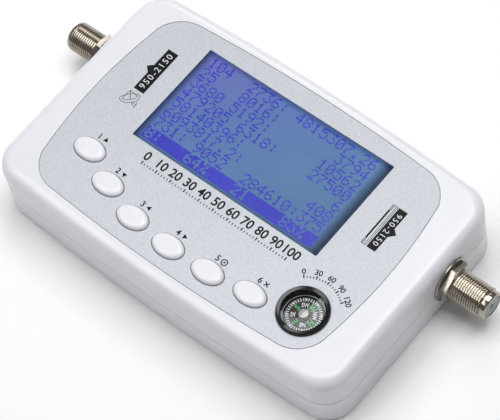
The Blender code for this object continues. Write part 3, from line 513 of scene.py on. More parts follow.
def make_surface(name, dark, light, blot, grain, rough, depth, metal=0.0, stretch=EVEN,
                 span=NOISE_SPAN):
    """A finish whose colour drifts over blots, and whose gloss and relief follow a fine grain."""
    shader, vector = new_material(name, stretch)
    base = ramp(noise(vector, blot, *DRIFT_NOISE), tuple(zip(span, (dark, light))))
    inputs = {"Base Color": base, "Metallic": metal, **MORE_INPUTS.get(name, {})}
    finish(shader, vector, inputs, grain, rough, depth)
    MATERIALS[name].diffuse_color = (*light, 1)


def make_silver_print():
    """Bluish silver ink with fine metal specks, a little paler towards the front from a painted sheen and a
    little darker towards the right from painted shade.
    """
    shader, vector = new_material("silver_ink")
    specks = noise(vector, *SPECK_NOISE)
    clouds = noise(vector, *CLOUD_NOISE)
    # Painted shade from left to right, and a painted sheen that makes the front paler
    shade_across = ranged(axis_place(vector, "X"), 0.0, 1.0, (-HALF_LENGTH, HALF_LENGTH))
    sheen_backwards = ranged(axis_place(vector, "Y"), 0.0, 1.0, (-HALF_WIDTH, HALF_WIDTH))
    base = ramp(shade_across, SILVER_TONE_WITH_PAINTED_SHADE)
    for source, stops in ((sheen_backwards, SILVER_PAINTED_SHEEN), (specks, SPECK_STOPS), (clouds, CLOUD_STOPS)):
        base = mixed(base, ramp(source, stops))
    fill_inputs(shader, {"Base Color": base, "Metallic": SILVER_METAL,
                         "Roughness": ranged(specks, *SPECK_ROUGHNESS),
                         "Normal": relief(specks, SPECK_RELIEF)})


def make_clear(name, tint):
    """Clear plastic: light passes straight through, and its outer gloss grows at a slant."""
    shader, vector = new_material(name)
    tree = shader.id_data
    tree.nodes.remove(shader)
    dust = noise(vector, DUST_SIZE, *GRAIN_NOISE)
    through = add_node(tree, "ShaderNodeBsdfTransparent", "BSDF", {"Color": (*tint, 1)})
    gloss = add_node(tree, "ShaderNodeBsdfGlossy", "BSDF", {
        "Roughness": ranged(dust, *CLEAR_ROUGHNESS), "Normal": relief(dust, DUST_RELIEF)})
    slant = add_node(tree, "ShaderNodeFresnel", "Fac", {"IOR": CLEAR_BEND})
    inside = add_node(tree, "ShaderNodeNewGeometry", "Backfacing", {})
    share = calculated("SUBTRACT", slant, inside, use_clamp=True)
    both = add_node(tree, "ShaderNodeMixShader", "Shader", {"Fac": share, 1: through, 2: gloss})
    fill_inputs(tree.nodes["Material Output"], {"Surface": both})


def make_screen():
    """A lit blue-grey screen, violet at its upper left. At its edges it fades into its dim navy margin; the
    fade and the margin's darkening towards the right and front are painted shade of the window's recess.
    """
    shader, vector = new_material("lit_screen")
    share_across, share_forwards = SCREEN_SLOPE_SHARES
    lit = []
    slopes = []
    for axis, start, length, first, last in (
            ("X", PICTURE_LEFT, PICTURE_LENGTH, 0.0, share_across),
            ("Y", PICTURE_FRONT, PICTURE_WIDTH, share_forwards, 0.0)):
        place = axis_place(vector, axis)
        slopes.append(ranged(place, first, last, (start, start + length)))
        half = length / 2
        reach = calculated("ABSOLUTE", calculated("SUBTRACT", place, start + half))
        lit.append(ranged(reach, 1.0, 0.0, (half - SCREEN_FADE_IN, half + SCREEN_FADE_OUT)))
    slope = calculated("ADD", *slopes)
    patches = ramp(noise(vector, SCREEN_PATCH_SIZE, *DRIFT_NOISE), SCREEN_PATCH_STOPS)
    face = mixed(ramp(slope, SCREEN_STOPS), patches)
    # Painted shade: the border darkens towards the right and front, and the picture fades into it at its
    # edges
    border = ramp(slope, SCREEN_BORDER_WITH_PAINTED_SHADE)
    shown = mixed(border, face, calculated("MULTIPLY", *lit), "MIX")
    finish(shader, vector, {"Emission Color": shown, **SCREEN_INPUTS}, *SCREEN_GRAIN)


def make_dots():
    """The dark blue-violet of a switched dot, lit a little from behind."""
    shader, vector = new_material("screen_dot")
    glow = ramp(noise(vector, DOT_PATCH_SIZE, *DRIFT_NOISE), DOT_STOPS)
    finish(shader, vector, {"Emission Color": glow, **DOT_INPUTS}, *DOT_GRAIN)


# Outlines and meshes

def spread(first, last, steps):
    """Evenly spaced values from first to last, with both ends."""
    return [first + (last - first) * step / steps for step in range(steps + 1)]


def polar(radius, turn, centre=(0, 0)):
    return (centre[0] + radius * math.cos(turn), centre[1] + radius * math.sin(turn))


def arc(centre, radius, first, last, steps):
    return [polar(radius, turn, centre) for turn in spread(first, last, steps)]


def oval(half_length, half_width, centre, steps):
    return [(centre[0] + half_length * math.cos(turn), centre[1] + half_width * math.sin(turn))
            for turn in spread(0, FULL_TURN, steps)[:-1]]


def box_outline(left, front, right, back):
    return [(left, front), (right, front), (right, back), (left, back)]


def bowed_outline(half_length, half_width, end_bow, side_bow, radius):
    """A rectangle with round corners whose four sides bulge outwards, as plan points."""
    centre_x = half_length - radius
    centre_y = half_width - radius
    for _ in range(SETTLE_ROUNDS):
        centre_y = half_width - radius - side_bow * (centre_x / half_length) ** 2
        centre_x = half_length - radius - end_bow * (centre_y / half_width) ** 2
    first_turn = math.atan2(1, 2 * side_bow * centre_x / half_length ** 2)
    last_turn = math.atan2(2 * end_bow * centre_y / half_width ** 2, 1)
    side_end = centre_x + radius * math.cos(first_turn)
    end_start = centre_y + radius * math.sin(last_turn)
    quarter = [(x, half_width - side_bow * (x / half_length) ** 2)
               for x in spread(0, side_end, SIDE_STEPS)[:-1]]
    quarter += arc((centre_x, centre_y), radius, first_turn, last_turn, CORNER_STEPS)[:-1]
    quarter += [(half_length - end_bow * (y / half_width) ** 2, y)
                for y in spread(end_start, 0, END_STEPS)]
    right = quarter + [(x, -y) for x, y in reversed(quarter[:-1])]
    left = [(-x, y) for x, y in reversed(right[1:-1])]
    return right + left


def lift(outline, height):
    return [(x, y, height) for x, y in outline]


def mesh_from_faces(points, faces):
    mesh = bpy.data.meshes.new("faces")
    mesh.from_pydata(points, [], faces)
    return mesh


def smoothed(mesh):
    mesh.shade_smooth()
    mesh.set_sharp_from_angle(angle=SHARP_ANGLE)
    return mesh


def tidy_mesh(mesh):
    bm = bmesh.new()
    bm.from_mesh(mesh)
    bmesh.ops.remove_doubles(bm, verts=bm.verts, dist=MERGE_DISTANCE)
    bmesh.ops.recalc_face_normals(bm, faces=bm.faces)
    bm.to_mesh(mesh)
    bm.free()
    return smoothed(mesh)


def moved(mesh, move):
    mesh.transform(move)
    return mesh


def join_meshes(meshes):
    bm = bmesh.new()
    for mesh in meshes:
        bm.from_mesh(mesh)
    joined = bpy.data.meshes.new("joined")
    bm.to_mesh(joined)
    bm.free()
    return smoothed(joined)


def mesh_from_rings(rings, ends="flat"):
    """Rings of points joined side by side into a skin, whose ends are flat, open or joined."""
    count = len(rings[0])
    points = [point for ring in rings for point in ring]
    faces = []
    spans = len(rings) if ends == "joined" else len(rings) - 1
    for row in range(spans):
        low = row * count
        high = (row + 1) % len(rings) * count
        for step in range(count):
            after = (step + 1) % count
            faces.append((low + step, low + after, high + after, high + step))
    if ends == "flat":
        faces.append(tuple(range(count)))
        faces.append(tuple(range(len(points) - count, len(points))))
    return tidy_mesh(mesh_from_faces(points, faces))


def prism(outline, bottom, top):
    """A plan outline raised between two heights."""
    return mesh_from_rings([lift(outline, bottom), lift(outline, top)])


def rod_mesh(radius, bottom, top, centre=(0, 0), steps=TURN_STEPS):
    return prism(oval(radius, radius, centre, steps), bottom, top)


def turned_mesh(profile, centre=(0, 0, 0), steps=TURN_STEPS, ends="flat", stretch=1.0):
    """A profile of (radius, height) points swept round Z."""
    rings = [lift(oval(radius, radius * stretch, centre, steps), centre[2] + height)
             for radius, height in profile]
    return mesh_from_rings(rings, ends)


def new_object(name, data):
    thing = bpy.data.objects.new(name, data)
    bpy.context.scene.collection.objects.link(thing)
    return thing


def applied_mesh(thing):
    """What an object's text or modifiers come to. The object itself is removed."""
    graph = bpy.context.evaluated_depsgraph_get()
    mesh = bpy.data.meshes.new_from_object(thing.evaluated_get(graph))
    bpy.data.objects.remove(thing)
    return mesh


def combine(mesh, tools, operation="DIFFERENCE"):
    """The mesh after each tool mesh is taken from it, joined to it or kept of it."""
    base = new_object("combine_base", mesh)
    things = [new_object("combine_tool", tool) for tool in tools]
    for thing in things:
        with_settings(base.modifiers.new("combine", "BOOLEAN"), operation=operation, solver="EXACT",
                      object=thing)
    result = applied_mesh(base)
    for thing in things:
        bpy.data.objects.remove(thing)
    return tidy_mesh(result)


def bevelled(mesh, size):
    thing = new_object("bevel_base", mesh)
    with_settings(thing.modifiers.new("bevel", "BEVEL"), width=size, segments=BEVEL_SEGMENTS,
                  limit_method="ANGLE", angle_limit=SHARP_ANGLE)
    result = tidy_mesh(applied_mesh(thing))
    result.set_sharp_from_angle(angle=FLAT_ANGLE)
    return result


def dress(mesh, material):
    mesh.materials.clear()
    mesh.materials.append(MATERIALS[material])


def add_piece(name, mesh, material, slot_name, node=None, body="case"):
    """A piece with its finish, on its body, which stands for a node where it has one."""
    mesh.name = name
    dress(mesh, material)
    thing = new_object(name, mesh)
    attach(thing, body)
    if node:
        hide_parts(node)


def node_centre(node):
    low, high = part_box(node)
    return ((low.x + high.x) / 2, (low.y + high.y) / 2)


# Case

KEY_CENTRES = {node: node_centre(node) for node in KEY_BODIES}
COMPASS_CENTRE = node_centre("compass_housing")
SCREW_CENTRES = [(side_x * SCREW_X, side_y * SCREW_Y) for side_x in (-1, 1) for side_y in (-1, 1)]


def case_mesh(places):
    """A skin through outlines of the case, each with its inset and height."""
    return mesh_from_rings([lift(bowed_outline(
        HALF_LENGTH - inset, HALF_WIDTH - inset, CASE_END_BOW, CASE_SIDE_BOW,
        CASE_CORNER_RADIUS - inset), height) for inset, height in places])


def label_mesh(places):
    """A skin through outlines of the label, each with its inset and height."""
    rings = []
    for inset, height in places:
        outline = bowed_outline(LABEL_HALF_LENGTH - inset, LABEL_HALF_WIDTH - inset, LABEL_END_BOW,
                                LABEL_SIDE_BOW, LABEL_CORNER_RADIUS - inset)
        rings.append([(LABEL_X + x, LABEL_Y + y, height) for x, y in outline])
    return mesh_from_rings(rings)


def edge_round(inset, height, radius, steps, side):
    """Places over an edge, from the wall to the flat. Side is -1 where the wall is below."""
    return [(inset + radius * (1 - math.cos(turn)), height + side * radius * (1 - math.sin(turn)))
            for turn in spread(0, math.pi / 2, steps)]


def socket_frame(side):
    """From a socket's own frame, whose Z points out of the case's end, to the shared frame."""
    return (Matrix.Translation((side * HALF_LENGTH, SOCKET_Y, SEAM_HEIGHT))
            @ Matrix.Rotation(side * math.pi / 2, 4, "Y"))


def socket_holes():
    return [moved(rod_mesh(THREAD_RADIUS + HOLE_CLEARANCE, -CASE_WALL - OVERRUN, OVERRUN),
                  socket_frame(side)) for side in SOCKET_SIDES.values()]


def face_holes(bottom, top):
    """Holes for the compass and the keys."""
    holes = [rod_mesh(COMPASS_CUP_RADIUS + HOLE_CLEARANCE, bottom, top, COMPASS_CENTRE)]
    for centre in KEY_CENTRES.values():
        outline = oval(KEY_HALF_LENGTH + KEY_GAP, KEY_HALF_WIDTH + KEY_GAP, centre, KEY_STEPS)
        holes.append(prism(outline, bottom, top))
    return holes


def make_top_shell():
    ceiling = CASE_TOP - CASE_WALL
    rim = SEAM_HEIGHT + SEAM_GAP / 2
    ledge = SEAM_HEIGHT + LIP_HEIGHT + SEAM_GAP
    flat = CASE_TOP_ROUND + SUPPORT_INSET
    places = [(flat, ceiling),
              *edge_round(CASE_WALL, ceiling, CASE_TOP_ROUND - CASE_WALL, SMALL_STEPS, -1)[::-1],
              (CASE_WALL, ledge), (LIP_INSET - SEAM_GAP, ledge), (LIP_INSET - SEAM_GAP, rim),
              (RIM_ROUND, rim), (0, rim + RIM_ROUND),
              *edge_round(0, CASE_TOP, CASE_TOP_ROUND, ROUND_STEPS, -1), (flat, CASE_TOP)]
    below = ceiling - OVERRUN
    above = CASE_TOP + OVERRUN
    low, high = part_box("lcd_bezel")
    bezel = box_outline(low.x - HOLE_CLEARANCE, low.y - HOLE_CLEARANCE, high.x + HOLE_CLEARANCE,
                        high.y + HOLE_CLEARANCE)
    recess = label_mesh([(-RECESS_GAP, CASE_TOP - RECESS_DEPTH), (-RECESS_GAP, above)])
    tools = [recess, prism(bezel, below, above)] + face_holes(below, above) + socket_holes()
    pieces = [combine(case_mesh(places), tools)]
    for centre in SCREW_CENTRES:
        profile = [(BOSS_BORE_RADIUS, BOSS_BOTTOM), (BOSS_RADIUS, BOSS_BOTTOM),
                   (BOSS_RADIUS, ceiling), (BOSS_BORE_RADIUS, ceiling)]
        pieces.append(turned_mesh(profile, (*centre, 0), SCREW_STEPS, "joined"))
    add_piece("case_top", join_meshes(pieces), "white_shell", "white_plastic", "top_shell")


def make_bottom_shell():
    rim = SEAM_HEIGHT - SEAM_GAP / 2
    lip_top = SEAM_HEIGHT + LIP_HEIGHT
    places = [(CASE_WALL + SUPPORT_INSET, CASE_WALL), (CASE_WALL, CASE_WALL), (CASE_WALL, lip_top),
              (LIP_INSET, lip_top), (LIP_INSET, rim), (RIM_ROUND, rim), (0, rim - RIM_ROUND),
              *edge_round(0, 0, CASE_BOTTOM_ROUND, SMALL_STEPS, 1),
              (CASE_BOTTOM_ROUND + SUPPORT_INSET, 0)]
    posts = [rod_mesh(POST_RADIUS, CASE_WALL / 2, POST_TOP, centre, SCREW_STEPS)
             for centre in SCREW_CENTRES]
    shell = combine(case_mesh(places), posts, "UNION")
    tools = socket_holes()
    for centre in SCREW_CENTRES:
        tools.append(rod_mesh(WELL_RADIUS, -OVERRUN, WELL_DEPTH, centre, SCREW_STEPS))
        tools.append(rod_mesh(BOSS_BORE_RADIUS, 0, POST_TOP + OVERRUN, centre, SCREW_STEPS))
    add_piece("case_bottom", combine(shell, tools), "white_shell", "white_plastic", "bottom_shell")


# Face label and its printing

def window_outline():
    reach_x = WINDOW_HALF_LENGTH - WINDOW_CORNER_RADIUS
    reach_y = WINDOW_HALF_WIDTH - WINDOW_CORNER_RADIUS
    points = []
    for quarter, (side_x, side_y) in enumerate(((1, 1), (-1, 1), (-1, -1), (1, -1))):
        corner = (WINDOW_X + side_x * reach_x, WINDOW_Y + side_y * reach_y)
        points += arc(corner, WINDOW_CORNER_RADIUS, quarter * math.pi / 2, (quarter + 1) * math.pi / 2,
                      SMALL_STEPS)
    return points


def make_face_label():
    bottom = CASE_TOP - LABEL_THICKNESS
    plate = label_mesh([(SUPPORT_INSET, bottom), (0, bottom), (0, CASE_TOP - LABEL_EDGE_ROUND),
                        (LABEL_EDGE_ROUND, CASE_TOP), (LABEL_EDGE_ROUND + SUPPORT_INSET, CASE_TOP)])
    below = bottom - OVERRUN
    above = CASE_TOP + OVERRUN
    holes = [prism(window_outline(), below, above)] + face_holes(below, above)
    add_piece("face_plate", combine(plate, holes), "silver_ink", "silver_print", "face_label")


def ink(points, base=CASE_TOP):
    """A printed shape, sunk a little into the face below it."""
    return prism(points, base - PRINT_SINK, base + PRINT_THICKNESS)


def bar(start, end, width):
    """A printed stroke between two plan points."""
    a, b = Vector(start), Vector(end)
    side = (b - a).orthogonal().normalized() * width / 2
    return ink([tuple(point) for point in (a + side, b + side, b - side, a - side)])


def strokes(points, width):
    return [bar(a, b, width) for a, b in zip(points, points[1:])]


def words(text, height, place, turn=0.0, base=CASE_TOP, weight=FIGURE_WEIGHT, spacing=1.0,
          squeeze=1.0):
    """Printed figures, centred on a plan point."""
    curve = with_settings(
        bpy.data.curves.new("figures", "FONT"), body=text, align_x="CENTER", align_y="CENTER",
        size=height / FIGURE_HEIGHT_SHARE, extrude=(PRINT_THICKNESS + PRINT_SINK) / 2,
        offset=height * weight, space_character=spacing, resolution_u=SMALL_STEPS)
    middle = base + (PRINT_THICKNESS - PRINT_SINK) / 2
    return moved(applied_mesh(new_object("figures", curve)), Matrix.Translation((*place, middle))
                 @ Matrix.Rotation(turn, 4, "Z") @ Matrix.Diagonal((squeeze, 1, 1, 1)))


def dish_place(along, shade_across):
    turned = Matrix.Rotation(DISH_TURN, 2) @ Vector((along, shade_across))
    return (DISH_CENTRE[0] + turned.x, DISH_CENTRE[1] + turned.y)


def dish_lines(points):
    return strokes([dish_place(*point) for point in points], THIN_STROKE)


def dish_arc(half_length, depth, first, last):
    """Part of an ellipse about the dish's centre, from one turn to another."""
    return dish_lines([(half_length * math.cos(turn), depth * math.sin(turn))
                       for turn in spread(first, last, SIGN_STEPS)])


def dish_strokes():
    """A small dish with its feed on three struts, over a foot."""
    half, rise = DISH_RIM
    inner_half, inner_depth = DISH_INNER
    shapes = dish_arc(half, rise, 0, math.pi) + dish_arc(half, DISH_BOWL_DEPTH, math.pi, FULL_TURN)
    shapes += dish_arc(inner_half, inner_depth, math.pi, FULL_TURN)
    for end in ((-inner_half, 0), (inner_half, 0), (DISH_FEED[0], -inner_depth)):
        shapes += dish_lines((DISH_FEED, end))
    return shapes + dish_lines(DISH_FOOT) + dish_lines(DISH_FOOT_RIB)


def receiver_strokes():
    shapes = [bar((x, RECEIVER_FRONT), (x, RECEIVER_BACK), THIN_STROKE) for x in RECEIVER_LINES]
    left, right = RECEIVER_STRIP
    middle = (left + right) / 2
    inner_front = RECEIVER_FRONT + RECEIVER_END
    inner_back = RECEIVER_BACK - RECEIVER_END
    shapes.append(ink(box_outline(left, inner_front, right, inner_back)))
    for near, far in ((RECEIVER_FRONT, inner_front), (RECEIVER_BACK, inner_back)):
        shapes.append(bar((left, near), (RECEIVER_LINES[-1], near), THIN_STROKE))
        shapes.append(bar((right, near), (right, far), THIN_STROKE))
        shapes.append(bar((middle, near), (middle, far), THIN_STROKE / 2))
    return shapes


def scale_strokes():
    shapes = []
    for step, x in enumerate(spread(SCALE_LEFT, SCALE_RIGHT, SCALE_STEPS)):
        long = step % SCALE_NUMBER_EVERY == 0
        top = SCALE_LINE_Y + TICK_LENGTHS[long]
        shapes.append(bar((x, SCALE_LINE_Y), (x, top), TICK_STROKES[long]))
        if long:
            number = step * SCALE_LAST_NUMBER // SCALE_STEPS
            shapes.append(words(str(number), SCALE_FIGURE_HEIGHT, (x, SCALE_FIGURE_Y)))
    return shapes


def key_signs():
    """A number and a sign beside each key: four pointers, a ring round a dot and a cross."""
    shapes = []
    for number, (key, (x, y)) in enumerate(KEY_CENTRES.items(), 1):
        x += SIGN_OFFSET[0]
        y += SIGN_OFFSET[1]
        shapes.append(words(str(number), SIGN_FIGURE_HEIGHT, (x - SIGN_NUMBER_SHIFT, y)))
        centre = (x + SIGN_NUMBER_SHIFT, y)
        if key in POINTER_TURNS:
            first = POINTER_TURNS[key]
            shapes.append(ink(arc(centre, SIGN_HALF, first, first + FULL_TURN, POINTER_CORNERS)[:-1]))
        elif key == "key_enter":
            dot = arc(centre, SIGN_HALF * SIGN_DOT_SHARE, 0, FULL_TURN, SIGN_STEPS)[:-1]
            shapes += strokes(arc(centre, SIGN_HALF, 0, FULL_TURN, SIGN_STEPS), SIGN_STROKE)
            shapes.append(ink(dot))
        else:
            for first in CROSS_TURNS:
                shapes += strokes(arc(centre, SIGN_HALF, first, first + math.pi, 1), SIGN_STROKE)
    return shapes


def compass_scale():
    shapes = []
    for step, turn in enumerate(spread(*ARC_TURNS, ARC_STEPS)):
        long = step % ARC_EVERY == 0
        ends = [polar(ARC_RADIUS + reach, turn, COMPASS_CENTRE)
                for reach in (0, TICK_LENGTHS[long])]
        shapes.append(bar(*ends, TICK_STROKES[long]))
        if long:
            number = step // ARC_EVERY * ARC_NUMBER_STEP
            place = polar(ARC_FIGURE_RADIUS, turn, COMPASS_CENTRE)
            shapes.append(words(str(number), ARC_FIGURE_HEIGHT, place, turn - math.pi / 2))
    return shapes


def make_printing():
    black = [ink(LEFT_FLAG), ink(RIGHT_FLAG)]
    black += dish_strokes() + receiver_strokes() + scale_strokes() + key_signs() + compass_scale()
    add_piece("face_printing", join_meshes(black), "black_ink", "silver_print")
    pale = [words(FLAG_TEXT, height, place, turn, CASE_TOP + PRINT_THICKNESS, FLAG_FIGURE_WEIGHT,
                  FLAG_FIGURE_SPACING) for height, place, turn in FLAG_FIGURES]
    add_piece("flag_figures", join_meshes(pale), "pale_ink", "silver_print")


# Display

def lit_dots():
    """The switched dots, as (column, row from the top)."""
    dots = []
    for line, text in enumerate(DISPLAY_ROWS):
        on = set()
        for place, figure in enumerate(text):
            for row, pattern in enumerate(GLYPHS.get(figure, "").split()):
                on |= {(place * CELL_DOTS_X + 1 + column, row)
                       for column, dot in enumerate(pattern) if dot == "#"}
        for row in range(CELL_DOTS_Y):
            for column in range(DOTS_X):
                if ((column, row) in on) != (line == BAR_ROW):
                    dots.append((column, line * CELL_DOTS_Y + row))
    return dots


def make_display():
    glass_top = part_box("lcd_glass")[1].z
    pitch_x = PICTURE_LENGTH / DOTS_X
    pitch_y = PICTURE_WIDTH / DOTS_Y
    points = []
    faces = []
    for column, row in lit_dots():
        left = PICTURE_LEFT + column * pitch_x
        back = PICTURE_FRONT + PICTURE_WIDTH - row * pitch_y
        outline = box_outline(left, back - pitch_y * DOT_FILL_SHARE, left + pitch_x * DOT_FILL_SHARE, back)
        first = len(points)
        points += lift(outline, glass_top - DOT_SINK) + lift(outline, glass_top + DOT_HEIGHT)
        faces += [tuple(first + corner for corner in corners) for corners in DOT_FACES]
    add_piece("display_dots", mesh_from_faces(points, faces), "screen_dot", "lcd_blue")


# Keys

def make_key(node, body):
    power, root = KEY_EDGE_POWERS
    profile = [(0, KEY_PROUD), (KEY_HALF_LENGTH * KEY_MIDDLE_SHARE, KEY_PROUD)]
    for turn in spread(0, math.pi / 2, KEY_RINGS):
        share = math.sin(turn)
        height = KEY_RIM_SHARE + (1 - KEY_RIM_SHARE) * (1 - share ** power) ** root
        reach = KEY_FLAT_SHARE + (1 - KEY_FLAT_SHARE) * share
        profile.append((KEY_HALF_LENGTH * reach, KEY_PROUD * height))
    border = KEY_HALF_LENGTH + KEY_FLANGE_BORDER
    profile += [(KEY_HALF_LENGTH, KEY_FLANGE_TOP), (border, KEY_FLANGE_TOP),
                (border, KEY_FLANGE_BOTTOM), (KEY_STEM_RADIUS, KEY_FLANGE_BOTTOM),
                (KEY_STEM_RADIUS, KEY_STEM_BOTTOM), (0, KEY_STEM_BOTTOM)]
    cap = turned_mesh(profile, (*KEY_CENTRES[node], CASE_TOP), KEY_STEPS,
                      stretch=KEY_HALF_WIDTH / KEY_HALF_LENGTH)
    add_piece("cap_" + node, cap, "white_key", "white_plastic", node, body)


# Compass

def card_point(radius, turn, shift=0):
    """A point of the card, shifted sideways along its circle."""
    return polar(radius, turn + shift / radius, COMPASS_CENTRE)


def card_marks():
    white = []
    green = []
    top = CASE_TOP + CARD_TOP
    half = CARD_TICK_STROKE / 2
    inner, outer = CARD_TICK_SPAN
    for tick in range(CARD_TICKS):
        if tick % (CARD_TICKS // len(CARD_LETTERS)) == 0:
            continue
        turn = CARD_NORTH_TURN - FULL_TURN * tick / CARD_TICKS
        white.append(ink([card_point(radius, turn, shift) for radius, shift in (
            (inner, -half), (outer, -half), (outer, half), (inner, half))], top))
    inner, outer = CARD_WEDGE_SPAN
    for index, letter in enumerate(CARD_LETTERS):
        turn = CARD_NORTH_TURN - FULL_TURN * index / len(CARD_LETTERS)
        between = index % 2
        letters = words(letter, CARD_LETTER_HEIGHTS[between], card_point(CARD_LETTER_RADIUS, turn),
                        turn - math.pi / 2, top, squeeze=CARD_LETTER_SQUEEZE)
        (white if between else green).append(letters)
        wedge = [card_point(inner, turn), card_point(outer, turn, -CARD_WEDGE_HALF),
                 card_point(outer, turn, CARD_WEDGE_HALF)]
        (white if index else green).append(ink(wedge, top))
    return white, green


def add_turned(name, profile, material, slot_name, node=None, body="case", ends="flat"):
    """A compass piece, turned round the compass's axis."""
    mesh = turned_mesh(profile, (*COMPASS_CENTRE, CASE_TOP), ends=ends)
    add_piece(name, mesh, material, slot_name, node, body)


def make_compass():
    seat = LENS_RADIUS + LENS_GAP
    lens_bottom = LENS_EDGE - LENS_THICKNESS
    ledge = lens_bottom - LENS_GAP
    floor = -COMPASS_DEPTH + COMPASS_FLOOR
    crest = (COMPASS_INNER_SLOPE[-1][0] + COMPASS_OUTER_SLOPE[0][0]) / 2
    profile = [(0, floor), (COMPASS_BORE_RADIUS, floor), (COMPASS_BORE_RADIUS, ledge),
               (seat, ledge), (seat, COMPASS_INNER_SLOPE[0][1]), *COMPASS_INNER_SLOPE,
               (crest, COMPASS_RIM_HEIGHT), *COMPASS_OUTER_SLOPE,
               (COMPASS_RIM_RADIUS, 0), (COMPASS_CUP_RADIUS, 0), (COMPASS_CUP_RADIUS, -COMPASS_DEPTH),
               (0, -COMPASS_DEPTH)]
    add_turned("compass_cup", profile, "gloss_black_moulding", "gloss_black", "compass_housing")

    profile = [(0, lens_bottom), (LENS_RADIUS, lens_bottom), (LENS_RADIUS, LENS_EDGE - LENS_BEVEL)]
    profile += [((LENS_RADIUS - LENS_BEVEL) * share, LENS_EDGE + LENS_CROWN * (1 - share ** 2))
                for share in spread(1, 0, ROUND_STEPS)]
    add_turned("compass_dome", profile, "clear_dome", "clear_plastic", "compass_lens")

    half = TRIM_WIDTH / 2
    profile = arc((COMPASS_BORE_RADIUS - half, TRIM_TOP - half), half, 0, FULL_TURN, TRIM_STEPS)[:-1]
    add_turned("compass_trim", profile, "bright_ring", "steel", ends="joined")

    card_bottom = CARD_TOP - CARD_THICKNESS
    profile = [(0, card_bottom), (CARD_RADIUS, card_bottom), (CARD_RADIUS, CARD_TOP - CARD_EDGE_ROUND),
               (CARD_RADIUS - CARD_EDGE_ROUND, CARD_TOP), (0, CARD_TOP)]
    add_turned("compass_disc", profile, "card_print_black", "card_black", "compass_card",
               "compass_dial")
    for colour, marks in zip(("white", "green"), card_marks()):
        add_piece(f"compass_{colour}_marks", join_meshes(marks), f"card_print_{colour}", "card_black",
                  body="compass_dial")

    bottom = JEWEL_TOP - JEWEL_HEIGHT
    profile = [(0, bottom), (JEWEL_RADIUS, bottom)]
    profile += arc((JEWEL_RADIUS - JEWEL_ROUND, JEWEL_TOP - JEWEL_ROUND), JEWEL_ROUND, 0, math.pi / 2,
                   ROUND_STEPS)
    profile.append((0, JEWEL_TOP))
    add_turned("compass_pivot_cap", profile, "pivot_cap", "brass", "compass_jewel", "compass_dial")


# Sockets, each piece in the socket's own frame

def thread_depth(share):
    """How deep the groove is at a share of one pitch, from a crest to the next, eased at its ends."""
    away = abs(2 * share - 1)
    slope = (away - THREAD_CREST_SHARE) / (1 - 2 * THREAD_CREST_SHARE)
    level = max(0.0, min(1.0, 1 - slope))
    return level * level * (3 - 2 * level)


def thread_mesh(start, end):
    """A screw surface whose rows climb with the turn, squeezed flat at both ends."""
    turns = round((end - start) / THREAD_PITCH)
    rows = range(-THREAD_SAMPLES, turns * THREAD_SAMPLES + 1)
    points = []
    for row in rows:
        cut = THREAD_DEPTH * thread_depth(row / THREAD_SAMPLES % 1)
        for step in range(TURN_STEPS + 1):
            climb = (row / THREAD_SAMPLES + step / TURN_STEPS) * (end - start) / turns
            height = max(start, min(end, start + climb))
            fade = min(1.0, (height - start) / THREAD_RUNOUT, (end - height) / THREAD_RUNOUT)
            points.append((*polar(THREAD_RADIUS - cut * fade, FULL_TURN * step / TURN_STEPS), height))
    count = TURN_STEPS + 1
    faces = []
    for row in range(len(rows) - 1):
        for step in range(TURN_STEPS):
            low = row * count + step
            faces.append((low, low + 1, low + count + 1, low + count))
    return tidy_mesh(mesh_from_faces(points, faces))


def barrel_mesh(name):
    """A threaded tube with a flange. The output's has a groove and a plain tip at its mouth."""
    end = SOCKET_REACH - THREAD_SETBACKS[name]
    start = end - round((end - THREAD_START) / THREAD_PITCH) * THREAD_PITCH
    core = THREAD_RADIUS - THREAD_DEPTH
    profile = [(THREAD_RADIUS, end)]
    edge_radius = THREAD_RADIUS
    if name == "output":
        tip_start = end + GROOVE_WIDTH
        profile += [(GROOVE_RADIUS, end), (GROOVE_RADIUS, tip_start), (TIP_RADIUS, tip_start)]
        edge_radius = TIP_RADIUS
    rounding = MOUTH_ROUNDS[name]
    mouth_edge = SOCKET_BORE_RADIUS + MOUTH_LIP
    for turn in spread(0, math.pi / 2, MOUTH_STEPS):
        profile.append((max(edge_radius - rounding * (1 - math.cos(turn)), mouth_edge),
                        SOCKET_REACH - rounding * (1 - math.sin(turn))))
    profile += [(mouth_edge, SOCKET_REACH), (SOCKET_BORE_RADIUS, SOCKET_REACH - MOUTH_LIP),
                (SOCKET_BORE_RADIUS, SOCKET_TAIL), (core, SOCKET_TAIL), (core, FLANGE_BOTTOM),
                (FLANGE_RADIUS, FLANGE_BOTTOM), (FLANGE_RADIUS, FLANGE_TOP), (core, FLANGE_TOP),
                (core, start), (THREAD_RADIUS, start)]
    return tidy_mesh(join_meshes([turned_mesh(profile, ends="open"), thread_mesh(start, end)]))


def washer_mesh(name):
    """A flat ring, or on the input side a thick one with teeth round its edge."""
    hole = THREAD_RADIUS + WASHER_BORE_GAP
    top = HOLE_CLEARANCE + WASHER_THICKNESSES[name]
    edge = min(WASHER_THICKNESSES[name], WASHER_RADIUS - hole) * WASHER_EDGE_SHARE
    rings = []
    for radius, height in ((hole, WASHER_GAP), (WASHER_RADIUS - edge, WASHER_GAP),
                           (WASHER_RADIUS, WASHER_GAP + edge), (WASHER_RADIUS, top - edge),
                           (WASHER_RADIUS - edge, top), (hole, top)):
        ring = []
        for turn in spread(0, FULL_TURN, WASHER_TEETH * SMALL_STEPS)[:-1]:
            wave = (1 - math.cos(turn * WASHER_TEETH)) / 2
            cut = TOOTH_DEPTHS[name] * wave if radius > hole else 0.0
            ring.append((*polar(radius - cut, turn), height))
        rings.append(ring)
    return mesh_from_rings(rings, "joined")


